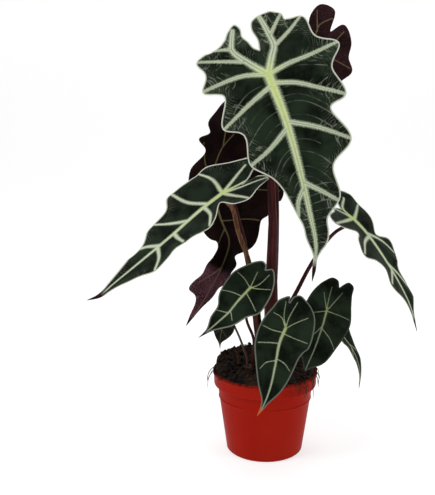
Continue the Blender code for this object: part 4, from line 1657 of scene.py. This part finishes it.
@dataclass
class Sheath:
    """The sheath that wraps the foot of the tall petiole, a gutter that narrows to a point."""

    petiole: Petiole
    wall: float = 1.9
    height: float = 168.0
    middle: float = 40.0
    spread: float = 125.0
    narrowing: float = 0.75
    gap: float = 0.3
    stations: int = 70
    columns: int = 30

    def build(self, finish: bpy.types.Material) -> bpy.types.Object:
        """Makes and dresses the sheath, thin at its edges and closed at its point.

        Args:
            finish: The material.

        Returns:
            The finished piece.
        """
        path = self.petiole.path()
        run = arc_length(path)
        wanted = np.linspace(self.gap, self.height, self.stations)
        centre = np.column_stack([np.interp(wanted, run, path[:, k]) for k in range(3)])
        share = wanted / self.height
        bore = np.interp(wanted, run, self.petiole.radii(path)) + 0.1 + 0.9 * self.gap * (1 - share)
        across, front = cross_frames(centre)
        spread = math.radians(self.spread) * (1 - self.narrowing * share**3)
        spread = spread * np.clip((1 - share) * 9, 0.04, 1)
        side = np.linspace(-1, 1, self.columns)[None]
        turns = math.radians(self.middle) + side * spread[:, None]
        ring = np.cos(turns)[..., None] * across[:, None] + np.sin(turns)[..., None] * front[:, None]
        left = 1 - share[:, None]
        ripple = 0.25 * np.sin(side * 9 + wanted[:, None] * 0.05) + 0.7 * np.abs(side) ** 6 * left
        inner = centre[:, None] + (bore[:, None] + np.clip(ripple, 0, None))[..., None] * ring
        thick = self.wall * np.clip(1 - np.abs(side) ** 3, 0.18, 1) * np.clip(left * 1.6, 0.15, 1)
        points = np.vstack([inner.reshape(-1, 3), (inner + thick[..., None] * ring).reshape(-1, 3)])
        count = self.stations * self.columns
        grid = np.arange(count).reshape(self.stations, self.columns)
        faces = []
        for i in range(self.stations - 1):
            for j in range(self.columns - 1):
                quad = (int(grid[i, j]), int(grid[i, j + 1]), int(grid[i + 1, j + 1]), int(grid[i + 1, j]))
                faces += [quad, tuple(v + count for v in quad[::-1])]
        border = [int(v) for v in (*grid[0, :], *grid[1:, -1], *grid[-1, -2::-1], *grid[-2:0:-1, 0])]
        for a, b in zip(border, border[1:] + border[:1]):
            faces.append((b, a, a + count, b + count))
        piece = add_mesh("sheath_tall_skin", points, faces, [finish], 80.0)
        add_values(piece, "rise", np.tile(np.repeat(share * 0.6, self.columns), 2))
        return settle(piece, Slot.MAROON_STEM, "sheath_tall")


@dataclass
class Stub:
    """The dry stub of a petiole that was cut off, frayed at its top."""

    soil: Soil
    foot: tuple[float, float] = (-29.0, -9.0)
    lean: tuple[float, float] = (-5.0, -3.0)
    height: float = 19.0
    radius: float = 2.4
    sides: int = 24

    def build(self, finish: bpy.types.Material) -> bpy.types.Object:
        """Makes and dresses the stub, with deep creases where it has shrunk.

        Args:
            finish: The material.

        Returns:
            The finished piece.
        """
        x, y = self.foot
        base = float(self.soil.heap(x, y)) - 1.0
        middle = (x + 0.2 * self.lean[0], y + 0.2 * self.lean[1], base + self.height / 2)
        tip = (x + self.lean[0], y + self.lean[1], base + 1.0 + self.height)
        path = curve(((x, y, base), middle, tip), 0.6)
        share = np.linspace(0, 1, len(path))[:, None]
        turns = (np.arange(self.sides) / self.sides * 2 * math.pi)[None]
        creases = 1 - (0.10 + 0.30 * share) * (0.5 + 0.5 * np.sin(5 * turns + 2.5 * share))
        radii = self.radius * (1 - 0.65 * share) * creases * (1 + 0.08 * np.sin(turns * 3 + share * 20))
        piece = add_mesh("dry_stub_skin", *swept(path, radii, self.sides), [finish], 60.0)
        return settle(piece, Slot.DRY_STALK, "dry_stub")


TALL = Leaf(
    name="tall",
    rib=(
        (0, -34, 426), (18, -50, 381), (32, -58, 335), (43, -60, 291), (52, -56, 246),
        (51, -50, 225), (49, -44, 208),
    ),
    face=((0.05, -1.0, 0.22), (0.10, -1.0, 0.0)),
    back=12,
    notch=(0, -28),
    right=(
        (3, -40), (1, -52), (6, -65), (15, -70), (25, -67), (37, -63), (37, -53), (55, -52),
        (59, -21), (80, -9), (62, 19),
        (67, 46), (47, 53), (59, 88), (33, 109), (33, 144), (15, 161), (14, 174), (11, 184), (5, 193),
        (1.4, 202), (1.0, 216),
    ),
    left=(
        (4, -31), (8, -40), (12, -51), (10, -58), (14, -68), (23, -62), (30, -52), (46, -46), (65, -41),
        (61, -19), (70, -7), (51, 6), (63, 40),
        (46, 54), (47, 88), (28, 108), (13, 148), (9, 164), (9, 175), (7, 184), (4, 192),
        (1.3, 202), (1.0, 216),
    ),
    corm="corm_main",
    petiole=((8, -2), (7, -4, 175), (7, -6, 225), (7, -8, 259), (5, -10, 298), (3, -14, 358), (0, -23, 405)),
    radii=(7.6, 3.0),
    widths=(4.7, 2.15),
    right_veins=(
        ((0, 0), (23, -4), (45, -5), (80, -9)),
        ((0, 10), (24, 19), (42, 31), (67, 46)),
        ((0, 54), (28, 68), (59, 88)),
        ((0, 118), (17, 132), (33, 146)),
    ),
    left_veins=(
        ((0, 0), (-22, -7), (-70, -7)),
        ((0, 12), (-28, 23), (-63, 40)),
        ((0, 60), (-28, 79), (-47, 88)),
        ((0, 124), (-9, 137), (-12, 152)),
    ),
    basal_veins=(
        ((0, 0), (11, -19), (16, -27), (16, -45), (14, -69)),
        ((16, -40), (25, -50), (37, -63)),
        ((16, -27), (39, -40), (55, -52)),
        ((0, 0), (-16, -21), (-26, -41), (-22, -52), (-18, -62)),
        ((-16, -21), (-40, -31), (-65, -41)),
        ((-26, -41), (-46, -48)),
    ),
    basal=1.6,
    puff=2.2,
    wave=2.4,
    step=1.5,
    large=1.0,
    drip=28,
)
WEST = Leaf(
    name="west",
    rib=(
        (-48, -22, 301), (-67, -32, 287), (-101, -52, 258), (-132, -66, 233), (-162, -76, 209),
        (-174, -79, 199), (-187, -80, 194),
    ),
    face=((-0.40, -0.50, 0.77), (-0.35, -0.60, 0.72)),
    fold=10,
    notch=(10, -22),
    right=(
        (18, -36), (32, -42), (43, -34), (46, -18), (43, 6), (18, 13), (35, 34), (41, 55), (26, 75),
        (33, 96),
        (31, 112), (22, 134), (3, 168),
    ),
    left=(
        (-2, -40), (8, -58), (20, -52), (30, -34), (51, -6), (45, 15), (50, 38), (31, 55), (31, 79),
        (19, 98),
        (14, 116), (3, 168),
    ),
    corm="corm_main",
    petiole=((-7, -5), (-10, -11, 144), (-12, -12, 162), (-18, -8, 218), (-32, -4, 258), (-38, -7, 283)),
    radii=(2.9, 2.6),
    widths=(2.8, 2.0),
    right_veins=(
        ((0, 0), (22, -3), (45, -7)),
        ((0, 26), (21, 31), (37, 44)),
        ((0, 70), (12, 72), (24, 72)),
        ((0, 93), (20, 102), (30, 112)),
    ),
    left_veins=(
        ((0, 0), (-30, -6), (-50, -2)),
        ((0, 20), (-21, 32), (-51, 35)),
        ((0, 49), (-18, 66), (-31, 77)),
        ((0, 90), (-14, 104), (-19, 115)),
    ),
    basal_veins=(
        ((0, 0), (-7, -20), (-15, -44)), ((0, 0), (6, -20), (11, -43)),
        ((0, 0), (18, -22), (34, -41)),
    ),
    puff=1.4,
    wave=1.5,
    step=1.3,
    large=0.7,
    drip=24,
    stem_slot=Slot.BROWN_STEM,
)
EAST = Leaf(
    name="east",
    rib=(
        (94, -10, 273), (105, -14, 262), (126, -22, 234), (144, -30, 205), (158, -36, 176),
        (163, -40, 155),
    ),
    face=((0.72, -0.40, 0.56), (0.85, -0.45, 0.20)),
    fold=4,
    notch=(-4, -16),
    right=(
        (4, -28), (14, -36), (26, -33), (37, -12), (30, 9), (17, 28), (34, 42), (31, 57), (17, 68),
        (17, 97), (3, 124),
    ),
    left=(
        (14, -20), (27, -17), (48, -14), (37, 6), (23, 18), (37, 24), (43, 42), (30, 52), (19, 67),
        (23, 84), (3, 122),
    ),
    corm="corm_main",
    petiole=((16, 11), (20, 8, 140), (29, 5, 174), (36, 4, 189), (52, 4, 221), (77, 3, 256)),
    radii=(3.0, 1.9),
    widths=(3.4, 1.9),
    right_veins=(
        ((0, 2), (18, -4), (35, -10)), ((0, 22), (18, 36), (29, 55)), ((0, 62), (9, 76), (16, 94)),
    ),
    left_veins=(((0, 0), (-23, -2), (-46, -5)), ((0, 26), (-21, 29), (-40, 39)), ((0, 70), (-18, 82))),
    basal_veins=(((0, 0), (-6, -8), (-18, -20)), ((0, 0), (-1, -13), (20, -25))),
    puff=1.1,
    wave=1.2,
    step=1.2,
    large=0.7,
    drip=18,
)
REAR_HIGH = Leaf(
    name="rear_high",
    rib=((45, 34, 442), (42, 36, 412), (40, 36, 373), (38, 32, 334), (40, 26, 294)),
    face=((0.10, 1.0, 0.10), (0.10, 1.0, 0.10)),
    notch=(0, -16),
    right=(
        (4, -26), (12, -38), (26, -32), (30, -8), (40, 12), (30, 34), (33, 60), (20, 84), (14, 114),
        (2, 134),
    ),
    left=(
        (-3, -30), (-4, -50), (5, -62), (20, -58), (19, -34), (32, -43), (43, -25), (42, -9),
        (48, 5), (37, 17),
        (30, 34), (20, 52), (26, 75), (16, 100), (8, 124), (2, 134),
    ),
    corm="corm_main",
    petiole=((6, 15), (11, 13, 222), (11, 13, 282), (10, 14, 310), (19, 18, 379), (38, 24, 424)),
    radii=(3.3, 2.4),
    widths=(2.2, 1.3),
    right_veins=(
        ((0, 2), (20, 2), (38, 10)), ((0, 40), (16, 48), (32, 58)), ((0, 76), (9, 86), (18, 92)),
    ),
    left_veins=(
        ((0, 0), (-22, -6), (-46, 2)), ((0, 20), (-16, 26), (-36, 20)),
        ((0, 50), (-14, 62), (-25, 74)),
    ),
    basal_veins=(
        ((0, 0), (-4, -32), (-6, -40), (-12, -45), (-20, -49)),
        ((-5, -34), (-2, -56)),
        ((0, 0), (-18, -16), (-34, -36)),
        ((0, 0), (8, -16), (16, -33)),
    ),
    puff=1.8,
    wave=2.2,
    step=1.4,
    large=0.6,
    # Painted light: lit plum patches on the lower face.
    painted_light=0.14,
    ribbed=0.55,
    blade_slot=Slot.PURPLE_BLADE,
)
REAR_WEST = Leaf(
    name="rear_west",
    rib=(
        (-66, 50, 309), (-54, 44, 263), (-44, 36, 238), (-50, 30, 215), (-63, 22, 188),
        (-77, 16, 165), (-93, 12, 141),
    ),
    face=((-0.30, 1.0, 0.20), (-0.45, 1.0, -0.05)),
    notch=(-59, -44),
    right=(
        (-61, -58), (-60, -74), (-54, -88), (-40, -86), (-26, -76), (-14, -65), (-14, -54),
        (2, -49), (-3, -36),
        (20, -16), (28, 20), (23, 54), (12, 99), (16, 112), (17, 126), (22, 139), (21, 149),
        (11, 151), (3, 175),
    ),
    left=(
        (68, -37), (80, -20), (74, 10), (82, 34), (56, 63), (42, 66), (34, 76), (12, 92), (18, 98),
        (15, 110), (17, 119), (9, 131), (8, 142), (2, 160),
    ),
    corm="corm_main",
    # Painted light: the lower face is painted lit from 0.57 of the midrib to the tip; the part nearer the
    # petiole is left dark.
    painted_light=0.9,
    painted_light_from=0.57,
    ribbed=0.35,
    petiole=((-6, 9), (-9, 9, 160), (-20, 14, 214), (-31, 22, 260), (-42, 32, 288), (-59, 38, 303)),
    radii=(3.4, 2.6),
    widths=(2.4, 1.4),
    right_veins=(
        ((0, 4), (12, 10), (26, 20)), ((0, 60), (8, 68), (15, 84)), ((0, 108), (8, 122), (17, 136)),
    ),
    left_veins=(
        ((0, 0), (-40, -14), (-76, -22)), ((0, 10), (-40, 20), (-78, 32)),
        ((0, 50), (-22, 58), (-42, 66)),
    ),
    basal_veins=(
        ((0, 0), (-8, -14), (-23, -34), (-40, -46)), ((-23, -34), (-34, -58), (-48, -82)),
        ((0, 0), (2, -20), (-2, -44)),
    ),
    puff=1.8,
    wave=2.4,
    step=1.5,
    large=0.6,
    blade_slot=Slot.PURPLE_BLADE,
)
LOW_WEST = Leaf(
    name="low_west",
    rib=(
        (-17, -38, 200), (-30, -46, 187), (-40, -50, 175), (-50, -52, 166), (-61, -52, 156),
        (-73, -50, 146),
    ),
    face=((-0.12, -1.0, 0.40), (-0.20, -1.0, 0.25)),
    fold=3,
    notch=(-1, -27),
    right=((4, -32), (13, -25), (20, -14), (25, 1), (26, 16), (18, 29), (13, 42), (2, 65)),
    left=(
        (4, -31), (9, -32), (15, -26), (20, -16), (25, -2), (24, 12), (21, 25), (13, 40), (9, 54),
        (2, 66),
    ),
    corm="corm_left",
    petiole=((-14, -16), (-13, -16, 135), (-21, -18, 158), (-22, -24, 182)),
    radii=(1.9, 1.4),
    widths=(1.20, 0.38),
    clear=0.70,
    right_veins=(((0, 0), (9, -6), (18, -13)), ((0, 7), (11, 11), (22, 16)), ((0, 33), (9, 39))),
    left_veins=(((0, 0), (-14, -4), (-22, -4)), ((0, 13), (-12, 17), (-22, 22)), ((0, 36), (-11, 44))),
    basal_veins=(((0, 0), (-6, -19)), ((0, 0), (4, -7), (6, -25))),
    puff=0.8,
    wave=0.5,
    step=1.0,
    large=0.2,
    drip=15,
)
LOW_FRONT = Leaf(
    name="low_front",
    rib=((21, -66, 163), (15, -76, 151), (11, -84, 131), (5, -88, 103), (-2, -88, 84), (-8, -86, 73)),
    face=((0.06, -1.0, 0.40), (0.10, -1.0, 0.15)),
    fold=4,
    notch=(-7, -30),
    right=(
        (-5, -38), (1, -42), (8, -39), (23, -26), (28, -10), (30, 10), (21, 34), (18, 47), (11, 66),
        (3, 83),
    ),
    left=((9, -36), (17, -29), (21, -16), (25, 0), (25, 20), (18, 49), (13, 64), (3, 83)),
    corm="corm_front",
    petiole=((19, -25), (20, -34, 122), (21, -46, 143)),
    radii=(2.1, 1.5),
    widths=(1.35, 0.36),
    clear=0.60,
    dry=1.0,
    right_veins=(((0, 6), (14, 6), (27, 5)), ((0, 34), (10, 38), (16, 44))),
    left_veins=(
        ((0, 5), (-12, 8), (-23, 8)), ((0, 18), (-11, 20), (-22, 22)),
        ((0, 36), (-10, 40), (-15, 47)),
    ),
    basal_veins=(
        ((0, 0), (-1, -11), (1, -34)),
        ((-1, -3), (-5, -9), (-11, -29)),
        ((0, 0), (-9, -10), (-18, -11)),
        ((0, 0), (8, -11), (18, -22)),
    ),
    puff=0.9,
    wave=0.7,
    step=1.0,
    large=0.3,
    drip=13,
)
LOW_EAST = Leaf(
    name="low_east",
    rib=(
        (66, -36, 175), (62, -46, 164), (57, -52, 150), (51, -56, 134), (45, -58, 120),
        (41, -58, 108),
    ),
    face=((0.10, -1.0, 0.40), (0.20, -1.0, 0.20)),
    fold=3,
    notch=(7, -33),
    right=((11, -38), (16, -42), (21, -39), (22, -28), (24, -14), (28, 4), (23, 30), (13, 57), (2, 69)),
    left=((-3, -41), (2, -42), (10, -35), (18, -22), (23, -6), (25, 14), (18, 38), (10, 56), (2, 69)),
    corm="corm_front",
    petiole=((24, -18), (38, -20, 135), (60, -24, 160)),
    radii=(2.0, 1.4),
    widths=(0.90, 0.40),
    clear=0.38,
    right_veins=(((0, 0), (20, 1), (26, 2)), ((0, 21), (13, 30), (20, 38))),
    left_veins=(((0, 0), (-15, 8), (-24, 12)), ((0, 18), (-5, 28), (-15, 40))),
    basal_veins=(((0, 0), (-1, -14), (-1, -31)), ((0, 0), (-8, -21)), ((0, 0), (12, -28))),
    puff=0.8,
    wave=0.7,
    step=1.0,
    large=0.1,
    drip=9,
)
NARROW = Leaf(
    name="narrow",
    rib=(
        (81, -12, 156), (88, -14, 139), (95, -16, 130), (103, -20, 114), (106, -24, 100),
        (105, -26, 84),
    ),
    face=((0.80, -0.35, 0.40), (0.90, -0.40, 0.20)),
    fold=6,
    notch=(0, -10),
    right=((5, -16), (12, -12), (16, 0), (20, 16), (11, 28), (9, 44), (3, 64)),
    left=((5, -15), (10, -8), (12, 6), (10, 20), (8, 34), (6, 48), (2, 64)),
    corm="corm_front",
    petiole=((26, -25), (45, -18, 130), (66, -8, 145)),
    radii=(1.7, 1.2),
    widths=(1.0, 0.6),
    clear=0.70,
    right_veins=(((0, 0), (14, -2)), ((0, 8), (10, 11), (18, 16)), ((0, 28), (8, 38))),
    left_veins=(((0, 0), (-11, 2)), ((0, 12), (-9, 19)), ((0, 32), (-7, 42))),
    basal_veins=(((0, 0), (5, -14)), ((0, 0), (-5, -13))),
    puff=0.6,
    wave=0.5,
    step=0.9,
    large=0.2,
    drip=9,
    stem_slot=Slot.GREEN_STEM,
)
LOW_HANGING = Leaf(
    name="low_hanging",
    rib=((-45, -10, 165), (-48, -14, 151), (-51, -16, 134), (-51, -16, 122)),
    face=((-0.10, -1.0, 0.30), (-0.10, -1.0, 0.10)),
    fold=4,
    notch=(0, -8),
    right=((6, -12), (11, -4), (13, 9), (13, 20), (8, 29), (1.2, 36)),
    left=((5, -12), (10, -4), (11, 9), (10, 20), (6, 28), (1.2, 36)),
    corm="corm_left",
    petiole=((-20, -20), (-26, -15, 129), (-36, -6, 149)),
    radii=(1.5, 1.1),
    widths=(0.7, 0.35),
    clear=0.12,
    tinge=0.4,
    right_veins=(((0, 0), (11, -2)), ((0, 10), (12, 16)), ((0, 20), (9, 30))),
    left_veins=(((0, 0), (-10, -2)), ((0, 8), (-10, 13)), ((0, 19), (-8, 28))),
    basal_veins=(((0, 0), (5, -10)), ((0, 0), (-5, -10))),
    puff=0.5,
    wave=0.3,
    step=0.9,
    large=0.0,
    drip=6,
    stem_slot=Slot.GREEN_STEM,
)
LEAVES = (TALL, WEST, EAST, REAR_HIGH, REAR_WEST, LOW_WEST, LOW_FRONT, LOW_EAST, NARROW, LOW_HANGING)


@dataclass
class Plant:
    """Everything that grows in the pot."""

    soil: Soil
    corms: tuple[tuple[str, float, float, float, float], ...] = (
        ("corm_main", 4.0, 3.0, 18.0, 24.0),
        ("corm_left", -17.0, -18.0, 8.0, 15.0),
        ("corm_front", 22.0, -23.0, 9.0, 17.0),
    )

    def stem_finishes(self) -> dict[Slot, bpy.types.Material]:
        """The petioles' materials.

        Returns:
            The materials by slot.
        """
        skins = {
            Slot.MAROON_STEM: (
                "maroon stem", (0.026, 0.005, 0.0045), (0.115, 0.018, 0.016), (0.075, 0.013, 0.012),
            ),
            Slot.BROWN_STEM: ("brown stem", (0.085, 0.03, 0.013), (0.31, 0.15, 0.065), (0.06, 0.015, 0.011)),
            Slot.GREEN_STEM: ("green stem", (0.085, 0.08, 0.045), (0.19, 0.19, 0.11), (0.09, 0.04, 0.03)),
        }
        return {slot: StemSkin(*given).material() for slot, given in skins.items()}

    def build(self) -> None:
        """Makes the corms, the stub, the petioles with the sheath, and the blades."""
        bark = Crumble("corm skin", (0.035, 0.017, 0.009), (0.130, 0.070, 0.040), 300.0, 0.5).material()
        straw = Crumble("dry stalk", (0.038, 0.017, 0.009), (0.110, 0.054, 0.028), 500.0, 0.3).material()
        corms = {}
        for name, x, y, radius, depth in self.corms:
            corms[name] = Corm(name, x, y, radius, depth, self.soil)
            corms[name].build(bark)
        Stub(self.soil).build(straw)
        stems = self.stem_finishes()
        upper, lower = UpperFace().material(), LowerFace().material()
        for leaf in LEAVES:
            blade = Blade(leaf)
            blade.build(upper, lower)
            petiole = Petiole(leaf, blade, corms[leaf.corm])
            petiole.build(stems[leaf.stem_slot])
            if leaf is TALL:
                Sheath(petiole).build(stems[Slot.MAROON_STEM])


# ---------------------------------------------------------------- studio


@dataclass
class Studio:
    """A pale floor that sweeps up behind the plant, soft lights and the camera."""

    camera_place: tuple[float, float, float] = (0.0, -0.85, 0.392)
    camera_down: float = 10.3
    camera_left: float = 3.7
    focal_share: float = 768 / 495
    lit_place: tuple[float, float, float] = (0.0, 0.0, 0.25)
    glow: float = 0.65
    surround: float = 0.20
    sweep_front: float = -5.0
    sweep_back: float = 1.6
    sweep_radius: float = 0.9
    sweep_top: float = 5.0
    sweep_half: float = 5.0
    lamps: tuple[tuple[str, tuple[float, float, float], float, float], ...] = (
        ("key_left", (-1.3, -1.0, 1.9), 0.9, 26.0),
        ("fill_right", (1.7, -0.9, 1.3), 0.9, 12.0),
        ("top", (0.1, 0.2, 2.4), 1.2, 14.0),
    )

    def camera(self) -> None:
        """Adds the camera and makes it the scene's own."""
        data = bpy.data.cameras.new("camera")
        data.sensor_width = 36.0
        data.lens = self.focal_share * data.sensor_width
        view = bpy.data.objects.new("camera", data)
        view.location = self.camera_place
        view.rotation_euler = (math.radians(90 - self.camera_down), 0, math.radians(self.camera_left))
        bpy.context.scene.collection.objects.link(view)
        bpy.context.scene.camera = view

    def sweep(self) -> None:
        """Adds the floor and the backdrop as one smooth sheet."""
        bend = np.linspace(0, math.pi / 2, 24)
        section = [(self.sweep_front, 0.0)]
        for turn in bend:
            rise = self.sweep_radius * (1 - math.cos(turn))
            section.append((self.sweep_back + self.sweep_radius * math.sin(turn), rise))
        section.append((self.sweep_back + self.sweep_radius, self.sweep_top))
        points = []
        for y, z in section:
            points += [(-self.sweep_half / MM, y / MM, z / MM), (self.sweep_half / MM, y / MM, z / MM)]
        faces = [(2 * i, 2 * i + 1, 2 * i + 3, 2 * i + 2) for i in range(len(section) - 1)]
        material, _, _ = start_material(
            "studio sweep",
            Base_Color=(0.50, 0.50, 0.50, 1.0),
            Roughness=0.9,
            Specular_IOR_Level=0.1,
            Emission_Color=(1.0, 1.0, 1.0, 1.0),
            Emission_Strength=self.glow,
        )
        add_mesh("studio_sweep", np.array(points), faces, [material], SMOOTH)

    def lamp(self, name: str, place: tuple[float, float, float], size: float, power: float) -> None:
        """Adds a square soft light that faces the middle of the plant.

        Args:
            name: The light's name.
            place: Where it hangs, in metres.
            size: The length of its side in metres.
            power: Its power in watts.
        """
        data = bpy.data.lights.new(name, "AREA")
        data.size = size
        data.energy = power
        light = bpy.data.objects.new(name, data)
        light.location = place
        aim = Vector(self.lit_place) - Vector(place)
        light.rotation_euler = aim.to_track_quat("-Z", "Y").to_euler()
        bpy.context.scene.collection.objects.link(light)

    def build(self) -> None:
        """Adds the camera, the sweep, the lights and the world."""
        self.camera()
        self.sweep()
        for lamp in self.lamps:
            self.lamp(*lamp)
        world = bpy.data.worlds.new("studio")
        world.use_nodes = True
        graph = Graph(world.node_tree)
        seen = graph.node("LightPath").outputs["Is Camera Ray"]
        air = world.node_tree.nodes["Background"]
        air.inputs["Color"].default_value = (1.0, 1.0, 1.0, 1.0)
        graph.feed(air.inputs["Strength"], graph.between(seen, self.surround, 1.0))
        bpy.context.scene.world = world
        bpy.context.scene.view_settings.view_transform = "Standard"


def main() -> None:
    """Builds the studio, the pot and the plant."""
    logging.basicConfig(level=logging.INFO, format="%(name)s %(message)s")
    Studio().build()
    low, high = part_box("pot")
    pot = Pot(height=(high[2] - low[2]) / MM, rim_radius=(high[0] - low[0]) / 2 / MM)
    pot.build(PotPlastic(rim_height=pot.height))
    soil = Soil(pot)
    soil.build()
    Plant(soil).build()


if __name__ == "__main__":
    main()
